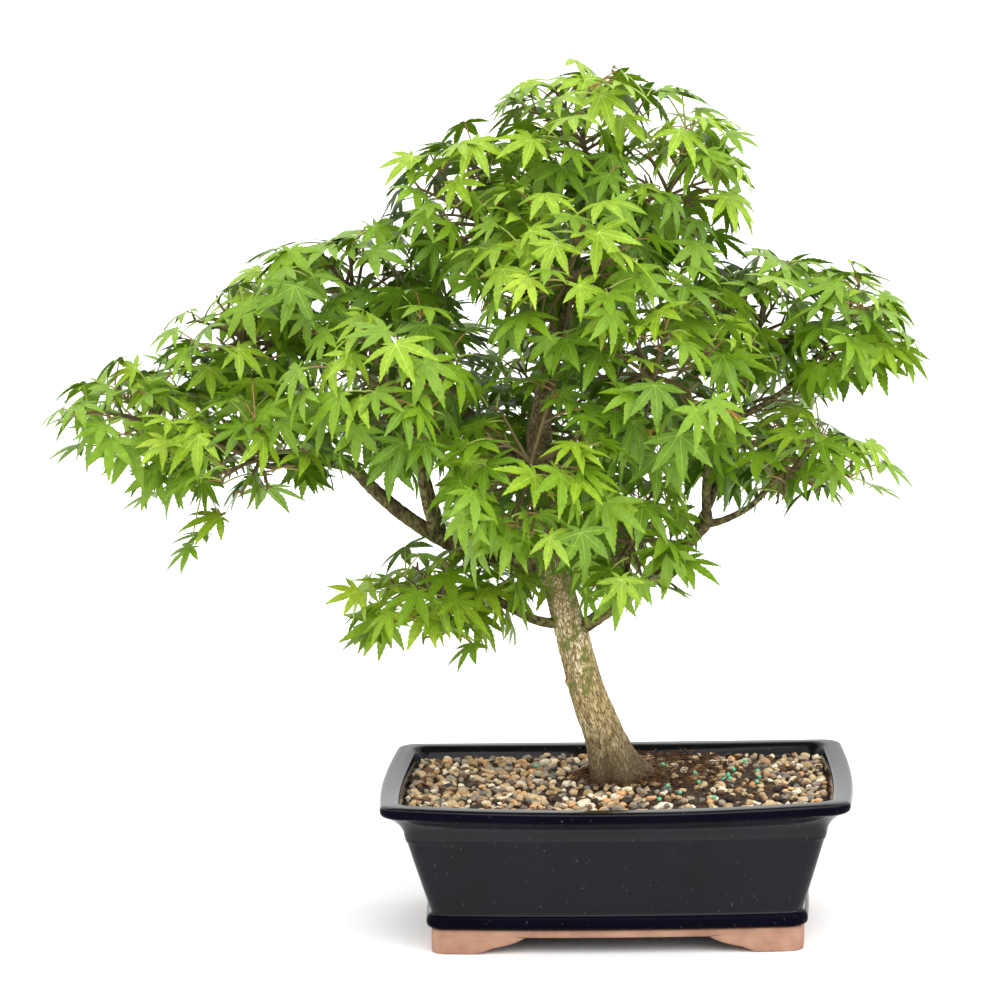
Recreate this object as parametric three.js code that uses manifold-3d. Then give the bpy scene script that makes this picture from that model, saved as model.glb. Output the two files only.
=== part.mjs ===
// A Japanese maple grown as a bonsai, in a glazed rectangular pot.
// Millimetres, +Z up, +X to the viewer's right, -Y towards the viewer.
// While it is built, the middle of the pot's footprint is at X = Y = 0 and the ground is at Z = 0.
// The last step moves the whole plant, so that the middle of its box's underside is the origin.
import * as THREE from "three";
import { mergeVertices } from "three/addons/utils/BufferGeometryUtils.js";
import Module from "manifold-3d";

const wasm = await Module();
wasm.setup();

// Clearance between two pieces that rest against each other on a curved or slanted face.
const GAP = 0.3;
// A limb is grown by a little more than that before it is cut out of its neighbour.
const GROWTH = 1.05 * GAP;

// The pot: a soft rectangle in plan, whose sides bow outwards and whose walls lean outwards.
const RIM = { halfLength: 175, halfDepth: 125, height: 111, lip: 14.4, cornerLift: 2.9 };
const FOOT = { halfLength: 138, halfDepth: 98.5, height: 12.5, wall: 13 };
const BAND_TOP = 18.5;
const POT_FLOOR = 30;
const SOIL_TOP = 95;
// The gravel is a low mound with a flat middle. Its larger stones are given by how many there are,
// half their length, half of the area they lie in, their distance from the trunk and the share that is sunk.
const GRAVEL = {
  edge: 105,
  middle: 106,
  mound: { halfLength: 150, halfDepth: 100, flat: 0.3 },
  pebbles: 78,
  pebbleSize: [3.2, 6.4],
  spread: [142, 92],
  clearOfTrunk: 11,
  sunk: 0.12,
};
// How far the middle of an end or of a long side stands out past the corners.
const BOW = { end: 5.9, side: 12.4 };
const CORNER_RADIUS = 12;
const DRAIN_HOLES = { radius: 11, apart: 120 };

// The glazed outside, from the foot up, and then down the inside.
// Each ring is [height, inset of the ends, inset of the long sides] from the rim's outer edge.
const POT_RINGS = [
  [BAND_TOP, 37, 26.5],
  [20.5, 34.8, 24.2],
  [24, 33.6, 23],
  [27.5, 34.8, 24.2],
  [30, 36.6, 26],
  [34, 35.8, 25.4],
  [92, 17.2, 16.6],
  [97, 13.8, 13.2],
  [101, 7, 6.8],
  [103.4, 1.4, 1.4],
  [106, 0, 0],
  [109.6, 0.6, 0.6],
  [RIM.height, 3, 3],
  [RIM.height, RIM.lip, RIM.lip],
  [108, 16.2, 16.2],
  [96, 22, 21.6],
  [36, 45, 35.4],
  [POT_FLOOR, 50, 40],
];

// The trunk. Each knot is [X, Y, Z, radius], from the flat cut at ground level to the leader's tip.
const TRUNK_KNOTS = [
  [1, 16, GRAVEL.middle, 24],
  [-3, 16, 118, 19.5],
  [-9, 15, 138, 15.6],
  [-22, 12, 176, 13.4],
  [-31, 10, 214, 12.4],
  [-39, 8, 245, 11.4],
  [-45, 6, 275, 10.2],
  [-47, 5, 305, 9.8],
  [-52, 4, 345, 10],
  [-53, 4, 366, 9.8],
  [-51, 5, 390, 6.8],
  [-46, 6, 418, 5.8],
  [-34, 6, 469, 5],
  [-20, 4, 515, 4],
  [-12, 3, 548, 3],
];
// Buttress roots that widen the trunk's foot: how many there are, how far they reach, how fast they fade.
const ROOT_FLARE = { lobes: 5, depth: 0.14, fade: 16, turn: 0.6 };
const TRUNK_SIDES = 11;
const BOUGH = { sides: 5, segments: 4 };

// Boughs. Each one leaves the limb "on" at the share "at" of its length, and ends at "to".
// "bend" moves the middle of its path, and "thick" is its radius at the root and at the tip.
const BOUGHS = [
  { name: "low_right", on: "trunk", at: 0.293, to: [70, -8, 302], bend: [3, -4, -3], thick: [5.4, 3.9] },
  { name: "right_up", on: "low_right", at: 1, to: [98, -2, 404], bend: [-10, 0, 2], thick: [3.4, 2.4] },
  { name: "right_out", on: "low_right", at: 1, to: [118, -8, 332], bend: [2, 0, -6], thick: [2.6, 2] },
  { name: "right_tip", on: "right_up", at: 0.7, to: [142, 2, 410], bend: [0, 0, -4], thick: [2.4, 2] },
  { name: "left", on: "trunk", at: 0.42, to: [-191, -14, 350], bend: [-6, 0, -20], thick: [7, 4.6] },
  { name: "left_reach", on: "left", at: 1, to: [-304, 0, 366], bend: [0, -4, 0], thick: [4.4, 2.4] },
  { name: "left_upper", on: "trunk", at: 0.565, to: [-126, 4, 452], bend: [-22, 0, -8], thick: [6.6, 4] },
  { name: "left_far", on: "left_upper", at: 0.8, to: [-226, 16, 428], bend: [0, 4, 6], thick: [3.6, 2.4] },
  { name: "high_left", on: "trunk", at: 0.79, to: [-66, 2, 496], bend: [-2, 0, -4], thick: [3.6, 2.6] },
  { name: "high_right", on: "trunk", at: 0.86, to: [22, 8, 512], bend: [4, 0, -2], thick: [3, 2.2] },
  { name: "low_left", on: "trunk", at: 0.31, to: [-94, -12, 256], bend: [-2, 0, -7], thick: [4, 2.6] },
  { name: "left_front", on: "left", at: 0.55, to: [-142, -52, 380], bend: [0, -6, -6], thick: [4, 2.6] },
  { name: "front", on: "trunk", at: 0.44, to: [-50, -58, 354], bend: [0, -6, -8], thick: [4.4, 2.8] },
  { name: "front_right", on: "trunk", at: 0.6, to: [12, -48, 412], bend: [4, -6, -6], thick: [3.8, 2.4] },
  { name: "front_high", on: "trunk", at: 0.74, to: [-30, -56, 478], bend: [0, -6, -8], thick: [3.4, 2.2] },
  { name: "back_low", on: "trunk", at: 0.33, to: [-44, 48, 278], bend: [0, 5, -5], thick: [4, 2.6] },
  { name: "back_left", on: "left", at: 0.5, to: [-150, 48, 370], bend: [0, 8, -4], thick: [3.6, 2.4] },
  { name: "back", on: "trunk", at: 0.48, to: [-54, 64, 352], bend: [0, 8, -8], thick: [5, 3] },
  { name: "back_right", on: "low_right", at: 0.8, to: [84, 52, 352], bend: [4, 8, -6], thick: [3.6, 2.4] },
  { name: "back_high", on: "trunk", at: 0.72, to: [-30, 62, 462], bend: [0, 6, -8], thick: [3.6, 2.4] },
  { name: "left_low", on: "left_reach", at: 0.4, to: [-252, -26, 352], bend: [0, -4, -2], thick: [3, 2.2] },
  { name: "right_low", on: "low_right", at: 0.35, to: [12, -28, 288], bend: [0, -4, 0], thick: [2.8, 2.2] },
];

// Foliage masses. Each one fills "reach" round "middle", on a stem that leaves the tip of the limb "on".
const MASSES = [
  { name: "crown_top", middle: [-18, 4, 590], reach: [88, 88, 62], on: "trunk" },
  { name: "crown_left", middle: [-108, 0, 537], reach: [82, 88, 66], on: "high_left" },
  { name: "crown_right", middle: [46, 10, 546], reach: [68, 84, 76], on: "high_right" },
  { name: "upper_front", middle: [-28, -98, 495], reach: [90, 82, 74], on: "front_high" },
  { name: "upper_back", middle: [-34, 102, 494], reach: [92, 82, 74], on: "back_high" },
  { name: "upper_left", middle: [-196, 6, 476], reach: [96, 90, 62], on: "left_upper" },
  { name: "left_far", middle: [-276, 18, 438], reach: [94, 84, 60], on: "left_far" },
  { name: "left_tip", middle: [-344, 0, 380], reach: [80, 76, 60], on: "left_reach" },
  { name: "left_low", middle: [-264, -46, 360], reach: [92, 80, 56], on: "left_low" },
  { name: "left_front", middle: [-152, -92, 412], reach: [90, 81, 76], on: "left_front" },
  { name: "left_back", middle: [-164, 92, 398], reach: [96, 84, 68], on: "back_left" },
  { name: "centre_front", middle: [-56, -108, 362], reach: [88, 82, 86], on: "front" },
  { name: "centre_right", middle: [34, -88, 422], reach: [86, 82, 82], on: "front_right" },
  { name: "centre_back", middle: [-50, 114, 362], reach: [94, 84, 86], on: "back" },
  { name: "right_upper", middle: [112, 14, 450], reach: [78, 86, 56], on: "right_up" },
  { name: "right_tip", middle: [170, 6, 440], reach: [66, 78, 58], on: "right_tip" },
  { name: "right_low", middle: [138, -10, 344], reach: [74, 78, 50], on: "right_out" },
  { name: "right_back", middle: [88, 86, 374], reach: [86, 79, 74], on: "back_right" },
  { name: "low_right", middle: [14, -42, 294], reach: [66, 76, 62], on: "right_low" },
  { name: "low_left", middle: [-130, -14, 247], reach: [86, 77, 58], on: "low_left" },
  { name: "low_back", middle: [-42, 84, 284], reach: [86, 78, 62], on: "back_low" },
];

// A leaf: its middle lobe's length, its stalk's length and width, and its thickness where the lobes meet.
const LEAF = { blade: 56, stalk: [10, 26], stalkWidth: 1.2, thickness: 1.3, droop: 0.2, size: [0.9, 1.1] };
// Half of a leaf's outline, from the middle lobe's tip round to the stalk.
// Each point is [angle from the middle lobe in degrees, share of the blade's length].
const LEAF_OUTLINE = [
  [0, 1],
  [21, 0.42],
  [42, 0.93],
  [64, 0.36],
  [88, 0.68],
  [140, 0.1],
];
// Degrees that a stalk rises, that its blade hangs, and that the blade is rolled to either side.
const LEAF_POSE = { rise: [-15, 25], fall: [34, 52], roll: 10 };
// How much steeper a stalk rises, and how much flatter a blade hangs, at the top of a mass.
const TOP_POSE = { rise: 38, fall: 40 };
// How far a leaf strays from pointing straight out of its mass, and how deep its stalk is sunk in the twig.
const LEAF_STRAY = 0.55;
const LEAF_SUNK = 0.3;
// Distance between two leaves' middles, at the first try and at the last.
const LEAF_SPACING = [32, 14];
// Where a leaf's middle may lie, as shares of the room from the middle of its mass outwards:
// not below "inner" at the first try, nor below "core" at the last. "middle" is where it lies on the blade.
const LEAF_ZONE = { inner: 0.82, core: 0.3, outer: 1, middle: 0.45 };
const LEAF_TRIES = 260;

// Twigs: the stem of a mass, and the shoots that leave it.
const STEM_RADIUS = 3.2;
const SHOOT = { radius: [2, 1.6], reach: [0.6, 0.8], seats: [0.98, 0.6], tries: 7, shorter: 0.06 };
// The part of a stem and of a shoot that bears no leaves, and where the last leaf sits.
const BARE = { stem: 0.7, shoot: 0.3, end: 0.97 };
// Square millimetres of a mass's outside for each of its leaves.
const AREA_PER_LEAF = 290;
const LEAVES_PER_SHOOT = 6;
// Clear space between one mass's leaves and the next mass's.
const MASS_MARGIN = 0.8;
// How far the tips of the outermost leaves may stand out of their mass, as a share of its reach.
const TIPS_OUT = 1.14;
const UP = new THREE.Vector3(0, 0, 1);

const BARK = { color: 0x8d8168, roughness: 0.92, metalness: 0 };
const BOUGH_BARK = { color: 0x6b6148, roughness: 0.9, metalness: 0 };
const LEAF_GREEN = { color: 0x5f9a25, roughness: 0.55, metalness: 0 };
const GLAZE = { color: 0x0d1020, roughness: 0.12, metalness: 0 };
const TERRACOTTA = { color: 0xc4967d, roughness: 0.85, metalness: 0 };
const SOIL = { color: 0x2b211a, roughness: 1, metalness: 0 };
const PEBBLES = { color: 0xa5927c, roughness: 0.85, metalness: 0 };

const plant = new THREE.Group();

// Random numbers from 0 to 1 that repeat for the same seed.
function seeded(seed) {
  let state = seed;
  return () => {
    state = (state * 16807) % 2147483647;
    return state / 2147483647;
  };
}

function vector([x, y, z]) {
  return new THREE.Vector3(x, y, z);
}

function degrees(angle) {
  return (angle * Math.PI) / 180;
}

function mix(a, b, share) {
  return a + (b - a) * share;
}

// A closed solid from a three.js geometry.
function solidFrom(geometry) {
  const bare = geometry.clone();
  bare.deleteAttribute("normal");
  bare.deleteAttribute("uv");
  const merged = mergeVertices(bare, 1e-4);
  const mesh = new wasm.Mesh({
    numProp: 3,
    vertProperties: new Float32Array(merged.attributes.position.array),
    triVerts: new Uint32Array(merged.index.array),
  });
  return new wasm.Manifold(mesh);
}

// A solid from points and triangles, turned so that its faces point out.
function solidOfFaces(points, faces) {
  const geometry = new THREE.BufferGeometry().setFromPoints(points);
  geometry.setIndex(faces.flat());
  const solid = solidFrom(geometry);
  if (solid.volume() > 0) return solid;
  geometry.setIndex(faces.map(([a, b, c]) => [a, c, b]).flat());
  return solidFrom(geometry);
}

// A closed skin through rings of points, with a flat fan at each end.
function loft(rings) {
  const count = rings[0].length;
  const points = rings.flat();
  const faces = [];
  for (let r = 0; r + 1 < rings.length; r += 1) {
    for (let k = 0; k < count; k += 1) {
      const a = r * count + k;
      const b = r * count + ((k + 1) % count);
      faces.push([a, b, b + count], [a, b + count, a + count]);
    }
  }
  const last = (rings.length - 1) * count;
  for (let k = 1; k + 1 < count; k += 1) {
    faces.push([0, k + 1, k], [last, last + k, last + k + 1]);
  }
  return solidOfFaces(points, faces);
}

function touches(a, b) {
  return !a.intersect(b).isEmpty();
}

// The largest connected piece of a solid, without specks or needle-thin edges.
function wholePiece(solid) {
  const pieces = solid.simplify(0.01).decompose();
  return pieces.reduce((best, piece) => (piece.volume() > best.volume() ? piece : best));
}

function addPiece(name, solid, look) {
  const { vertProperties, triVerts } = solid.getMesh();
  const geometry = new THREE.BufferGeometry();
  geometry.setAttribute("position", new THREE.BufferAttribute(vertProperties, 3));
  geometry.setIndex(new THREE.BufferAttribute(triVerts, 1));
  geometry.computeVertexNormals();
  const mesh = new THREE.Mesh(geometry, new THREE.MeshStandardMaterial(look));
  mesh.name = name;
  plant.add(mesh);
}

// Pot

// One ring of the pot's plan: straight runs bowed outwards, joined by round corners.
function planRing(height, insetEnd, insetSide, lift = 0) {
  const halfLength = RIM.halfLength - insetEnd;
  const halfDepth = RIM.halfDepth - insetSide;
  const radius = CORNER_RADIUS * (halfDepth / RIM.halfDepth);
  const size = Math.pow(halfLength / RIM.halfLength, 3);
  const ring = [];
  for (let quarter = 0; quarter < 4; quarter += 1) {
    const signX = quarter === 0 || quarter === 3 ? 1 : -1;
    const signY = quarter < 2 ? 1 : -1;
    for (let step = 0; step <= 3; step += 1) {
      const angle = degrees(quarter * 90 + step * 30);
      const x = signX * (halfLength - radius) + radius * Math.cos(angle);
      const y = signY * (halfDepth - radius) + radius * Math.sin(angle);
      ring.push([x, y]);
    }
    const [x, y] = ring[ring.length - 1];
    const alongX = quarter % 2 === 0;
    [1 / 3, -1 / 3].forEach((share) => ring.push(alongX ? [x * share, y] : [x, y * share]));
  }
  return ring.map(([x, y]) => {
    const shareX = x / halfLength;
    const shareY = y / halfDepth;
    const bowedX = x - BOW.end * size * shareX * shareY * shareY;
    const bowedY = y - BOW.side * size * shareY * shareX * shareX;
    const rise = lift * shareX * shareX * shareY * shareY;
    return new THREE.Vector3(bowedX, bowedY, height + rise);
  });
}

function drainHoles(from, to) {
  const holes = [-1, 1].map((side) => {
    const hole = new THREE.CylinderGeometry(DRAIN_HOLES.radius, DRAIN_HOLES.radius, to - from, 12);
    hole.rotateX(Math.PI / 2);
    hole.translate((side * DRAIN_HOLES.apart) / 2, 0, (from + to) / 2);
    return solidFrom(hole);
  });
  return holes[0].add(holes[1]);
}

function makePot() {
  const rings = POT_RINGS.map(([height, insetEnd, insetSide]) => {
    const lift = RIM.cornerLift * THREE.MathUtils.smoothstep(height, 92, 106);
    return planRing(height, insetEnd, insetSide, lift);
  });
  addPiece("pot", loft(rings).subtract(drainHoles(BAND_TOP - 5, POT_FLOOR + 5)), GLAZE);
}

function footRing(height, inset = 0) {
  return planRing(height, RIM.halfLength - FOOT.halfLength + inset, RIM.halfDepth - FOOT.halfDepth + inset);
}

function makeBand() {
  const slab = loft([footRing(FOOT.height), footRing(BAND_TOP)]);
  addPiece("foot_band", slab.subtract(drainHoles(FOOT.height - 5, BAND_TOP + 5)), TERRACOTTA);
}

// The opening between two feet, as wide as "half" each side: a scroll at each end and a flat top.
function archShape(half) {
  const toe = half - 37;
  const step = half - 49;
  const top = half - 71;
  const shape = new THREE.Shape();
  shape.moveTo(toe, -5);
  shape.lineTo(toe, 0);
  shape.quadraticCurveTo(toe - 1, 4, toe - 8, 4.2);
  shape.quadraticCurveTo(step - 2, 4.2, step - 8, 6.4);
  shape.quadraticCurveTo(top + 4, 9, top, FOOT.height);
  shape.lineTo(top, FOOT.height + 5);
  const right = shape.getPoints(2);
  const left = right.map((point) => new THREE.Vector2(-point.x, point.y)).reverse();
  return new THREE.Shape([...right, ...left]);
}

function makeFeet() {
  const wall = loft([footRing(0), footRing(FOOT.height)]);
  const inside = loft([footRing(-5, FOOT.wall), footRing(FOOT.height + 5, FOOT.wall)]);
  const settings = { depth: 400, bevelEnabled: false };
  const front = new THREE.ExtrudeGeometry(archShape(FOOT.halfLength), settings);
  front.rotateX(Math.PI / 2);
  front.translate(0, 200, 0);
  const side = new THREE.ExtrudeGeometry(archShape(FOOT.halfDepth), settings);
  side.rotateX(Math.PI / 2);
  side.rotateZ(Math.PI / 2);
  side.translate(-200, 0, 0);
  const feet = wall.subtract(inside).subtract(solidFrom(front)).subtract(solidFrom(side));
  feet.decompose().forEach((foot) => {
    const box = foot.boundingBox();
    const depth = box.min[1] + box.max[1] < 0 ? "front" : "back";
    const hand = box.min[0] + box.max[0] < 0 ? "left" : "right";
    addPiece(`foot_${depth}_${hand}`, foot, TERRACOTTA);
  });
}

// The inside of the pot's wall at one height, drawn in by a clearance that allows for the rim's raised
// corners. Its facets lie along the wall's own: its points lie on the lines between the wall's rings.
function insideRing(height) {
  const inside = POT_RINGS.slice(-4);
  const below = Math.max(inside.findIndex(([top]) => top <= height), 1);
  const [upper, lower] = [inside[below - 1], inside[below]];
  const share = (upper[0] - height) / (upper[0] - lower[0]);
  const lowerRing = planRing(...lower);
  const drawnIn = 1 - (4 * GAP) / (RIM.halfDepth - lower[2]);
  return planRing(...upper).map((point, k) => {
    const onWall = point.lerp(lowerRing[k], share);
    return new THREE.Vector3(onWall.x * drawnIn, onWall.y * drawnIn, height);
  });
}

function makeSoil() {
  addPiece("soil", loft([insideRing(SOIL_TOP), insideRing(36), insideRing(POT_FLOOR)]), SOIL);
}

function scaledRing(ring, share, height) {
  return ring.map((point) => new THREE.Vector3(point.x * share, point.y * share, height));
}

// A rough stone: an octahedron stretched three ways and turned at random.
function pebble(random, size) {
  const stone = new THREE.OctahedronGeometry(1);
  stone.scale(size * mix(1, 1.3, random()), size * mix(0.85, 1.1, random()), size * mix(0.6, 0.8, random()));
  stone.rotateX(degrees(mix(-25, 25, random())));
  stone.rotateZ(degrees(360 * random()));
  return stone;
}

// How high the gravel is at one place.
function moundHeight(x, y) {
  const { halfLength, halfDepth, flat } = GRAVEL.mound;
  const outward = Math.max(Math.abs(x) / halfLength, Math.abs(y) / halfDepth);
  return mix(GRAVEL.middle, GRAVEL.edge, Math.max(0, outward - flat) / (1 - flat));
}

// The top dressing: a low mound of gravel, with the larger stones standing out of it.
function makeGravel() {
  const rim = insideRing(GRAVEL.edge);
  let gravel = loft([
    scaledRing(rim, 0.34, GRAVEL.middle),
    scaledRing(rim, 0.62, mix(GRAVEL.edge, GRAVEL.middle, 0.55)),
    rim,
    insideRing(96),
    insideRing(SOIL_TOP),
  ]);
  const random = seeded(4021);
  const [footX, footY, , footRadius] = TRUNK_KNOTS[0];
  for (let count = 0; count < GRAVEL.pebbles; count += 1) {
    const x = mix(-GRAVEL.spread[0], GRAVEL.spread[0], random());
    const y = mix(-GRAVEL.spread[1], GRAVEL.spread[1], random());
    const size = mix(...GRAVEL.pebbleSize, random() * random());
    const stone = pebble(random, size);
    if (Math.hypot(x - footX, y - footY) < footRadius + GRAVEL.clearOfTrunk) continue;
    stone.translate(x, y, moundHeight(x, y) - GRAVEL.sunk * size);
    gravel = gravel.add(solidFrom(stone));
  }
  addPiece("gravel", wholePiece(gravel), PEBBLES);
}

// Limbs

// Rings round a path, square across it. "radius" gives a ring's size at each of its corners,
// and "longer" moves the last ring on along the path.
function ringsAlong(points, sides, radius, longer = 0) {
  let across = new THREE.Vector3(0.2, 1, 0.1);
  return points.map((point, k) => {
    const before = points[Math.max(k - 1, 0)];
    const after = points[Math.min(k + 1, points.length - 1)];
    const along = after.clone().sub(before).normalize();
    across = across.addScaledVector(along, -across.dot(along)).normalize();
    const other = along.clone().cross(across);
    const middle = point.clone();
    if (k === points.length - 1) middle.addScaledVector(along, longer);
    return Array.from({ length: sides }, (_, side) => {
      const angle = (side / sides) * 2 * Math.PI;
      const size = radius(k, angle);
      const corner = middle.clone().addScaledVector(across, size * Math.cos(angle));
      return corner.addScaledVector(other, size * Math.sin(angle));
    });
  });
}

// A limb is its path, its solid, and that solid grown by the gap. Other limbs look it up by its name.
const limbs = new Map();

// How much wider the buttress roots make the trunk, at one height above the gravel and one angle.
function flareAt(height, angle) {
  const lobes = Math.cos(ROOT_FLARE.lobes * angle + ROOT_FLARE.turn);
  return 1 + ROOT_FLARE.depth * lobes * Math.exp(-height / ROOT_FLARE.fade);
}

function trunkShape(points, grow) {
  const radius = (k, angle) => TRUNK_KNOTS[k][3] * flareAt(points[k].z - points[0].z, angle) + grow;
  const rings = ringsAlong(points, TRUNK_SIDES, radius, grow);
  rings[0].forEach((point) => {
    point.z = GRAVEL.middle;
  });
  return loft(rings);
}

function makeTrunk() {
  const points = TRUNK_KNOTS.map(vector);
  const path = new THREE.CatmullRomCurve3(points, false, "centripetal");
  addPiece("trunk", trunkShape(points, 0), BARK);
  limbs.set("trunk", { pointAt: (share) => path.getPoint(share), grown: trunkShape(points, GROWTH) });
}

// A tapering limb on a bent path.
function taperingLimb(from, to, bend, thick, sides, segments) {
  const middle = from.clone().lerp(to, 0.5).add(bend);
  const control = middle.multiplyScalar(2).sub(from.clone().add(to).multiplyScalar(0.5));
  const points = new THREE.QuadraticBezierCurve3(from, control, to).getPoints(segments);
  const radius = (k) => mix(...thick, k / segments);
  const grow = GROWTH / Math.cos(Math.PI / sides);
  const pointAt = (share) => {
    const place = Math.min(share * segments, segments - 1e-6);
    const k = Math.floor(place);
    return points[k].clone().lerp(points[k + 1], place - k);
  };
  return {
    pointAt,
    solid: loft(ringsAlong(points, sides, radius)),
    grown: loft(ringsAlong(points, sides, (k) => radius(k) + grow, GROWTH)),
  };
}

// A straight three-sided twig.
function twigTo(from, to, [rootRadius, tipRadius]) {
  const along = to.clone().sub(from).normalize();
  const across = new THREE.Vector3(0.3, 0.2, 1).cross(along).normalize();
  const rings = [[from, rootRadius], [to, tipRadius]].map(([middle, radius]) =>
    [0, 120, 240].map((angle) => {
      const turned = across.clone().applyAxisAngle(along, degrees(angle));
      return middle.clone().addScaledVector(turned, radius);
    }),
  );
  return { pointAt: (share) => from.clone().lerp(to, share), solid: loft(rings) };
}

// Whatever limbs a solid meets are cut out of it, with the gap.
function cutClear(solid, others) {
  let rest = solid;
  others.forEach((other) => {
    if (touches(rest, other.grown)) rest = rest.subtract(other.grown);
  });
  return wholePiece(rest);
}

function makeBoughs() {
  BOUGHS.forEach(({ name, on, at, to, bend, thick }) => {
    const from = limbs.get(on).pointAt(at);
    const limb = taperingLimb(from, vector(to), vector(bend), thick, BOUGH.sides, BOUGH.segments);
    addPiece(`bough_${name}`, cutClear(limb.solid, [...limbs.values()]), BOUGH_BARK);
    limbs.set(name, limb);
  });
}

// Foliage

// A maple leaf's outline: five pointed lobes that droop at their tips, and the stalk's end.
// "heart" is where the lobes meet, and "forward" and "normal" turn the blade.
function leafOutline({ root, heart, forward, normal, blade }) {
  const side = forward.clone().cross(normal).normalize();
  const place = (angle, share) =>
    heart
      .clone()
      .addScaledVector(forward, blade * share * Math.cos(degrees(angle)))
      .addScaledVector(side, blade * share * Math.sin(degrees(angle)))
      .addScaledVector(normal, -blade * LEAF.droop * share * share);
  const half = LEAF_OUTLINE.slice(1);
  const right = half.map(([angle, share]) => place(angle, share));
  const left = half.map(([angle, share]) => place(-angle, share)).reverse();
  const stalk = [0.5, -0.5].map((share) => root.clone().addScaledVector(side, share * LEAF.stalkWidth));
  return [place(...LEAF_OUTLINE[0]), ...right, ...stalk, ...left];
}

// The blade is thickest at its heart and sharp along its outline. The stalk has a ridge on top.
function leafSolid({ heart, normal }, outline) {
  const count = outline.length;
  const [top, bottom, ridge] = [count, count + 1, count + 2];
  const stalkRight = LEAF_OUTLINE.length;
  const stalkLeft = stalkRight + 1;
  const stalkEnd = outline[stalkRight].clone().lerp(outline[stalkLeft], 0.5);
  const points = [
    ...outline,
    heart.clone().addScaledVector(normal, LEAF.thickness / 2),
    heart.clone().addScaledVector(normal, -LEAF.thickness / 2),
    stalkEnd.addScaledVector(normal, 0.8 * LEAF.stalkWidth),
  ];
  const faces = [
    [top, ridge, stalkRight],
    [top, stalkLeft, ridge],
    [stalkRight, ridge, stalkLeft],
  ];
  for (let k = 0; k < count; k += 1) {
    const next = (k + 1) % count;
    faces.push([bottom, k, next]);
    if (k !== stalkRight) faces.push([top, next, k]);
  }
  return solidOfFaces(points, faces);
}

// The planes that part one mass from the masses whose reach meets its own.
function neighboursOf(mass, masses) {
  const planes = [];
  masses.forEach((other) => {
    if (other === mass) return;
    const towards = other.middle.clone().sub(mass.middle);
    const apart = towards.length();
    towards.normalize();
    const own = towards.clone().multiply(mass.reach).length();
    const its = towards.clone().multiply(other.reach).length();
    if (own + its < apart) return;
    planes.push({ towards, limit: (apart * own) / (own + its) - MASS_MARGIN / 2 });
  });
  return planes;
}

// Whether a leaf's point lies in its mass's own space: near its reach, on its own side of each neighbour.
function inSpace(mass, point, neighbours) {
  const offset = point.clone().sub(mass.middle);
  if (offset.clone().divide(mass.reach).length() > TIPS_OUT) return false;
  return neighbours.every(({ towards, limit }) => offset.dot(towards) < limit);
}

// How far the mass's own space goes from its middle in one direction.
function roomTowards(mass, direction, neighbours) {
  let room = 1 / direction.clone().divide(mass.reach).length();
  neighbours.forEach(({ towards, limit }) => {
    const slope = direction.dot(towards);
    if (slope > 0) room = Math.min(room, limit / slope);
  });
  return room;
}

// Directions spread evenly over a ball, one for each shoot or leaf.
function spreadDirection(k, count, turn) {
  const height = 1 - (2 * (k + 0.5)) / count;
  const round = Math.sqrt(1 - height * height);
  const angle = turn + k * Math.PI * (3 - Math.sqrt(5));
  return new THREE.Vector3(round * Math.cos(angle), round * Math.sin(angle), height);
}

// A mass's stem runs from the tip of its bough to the middle of the mass.
function growStem(mass) {
  const from = limbs.get(mass.on).pointAt(1);
  const bend = new THREE.Vector3(0, 0, 0.06 * from.distanceTo(mass.middle));
  return taperingLimb(from, mass.middle, bend, [STEM_RADIUS, STEM_RADIUS], 3, 2);
}

// The limbs and the other masses' stems that come into a mass's space.
function limbsNear(mass, stems) {
  const box = new THREE.BoxGeometry(2 * mass.reach.x, 2 * mass.reach.y, 2 * mass.reach.z);
  box.translate(...mass.middle.toArray());
  const space = solidFrom(box);
  const others = stems.filter((entry) => entry.mass !== mass).map((entry) => entry.stem);
  return [...limbs.values(), ...others].filter((limb) => touches(limb.grown, space));
}

// Shoots leave the stem towards all sides. One that would touch a limb is turned and made shorter.
function growShoots(site, count) {
  const { mass, neighbours, random, stem } = site;
  const turn = 6 * random();
  for (let k = 0; k < count; k += 1) {
    for (let attempt = 0; attempt < SHOOT.tries; attempt += 1) {
      const direction = spreadDirection(k, count, turn + 0.4 * attempt * random());
      const share = mix(...SHOOT.reach, random()) * (1 - SHOOT.shorter * attempt);
      const from = stem.pointAt(mix(...SHOOT.seats, k / count));
      const room = roomTowards(mass, direction, neighbours);
      const to = mass.middle.clone().addScaledVector(direction, room * share);
      const shoot = twigTo(from, to, SHOOT.radius);
      if (!site.isFree(shoot.solid)) continue;
      site.parts.push(shoot.solid);
      site.twigs.push({ pointAt: shoot.pointAt, bare: BARE.shoot });
      break;
    }
  }
}

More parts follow.
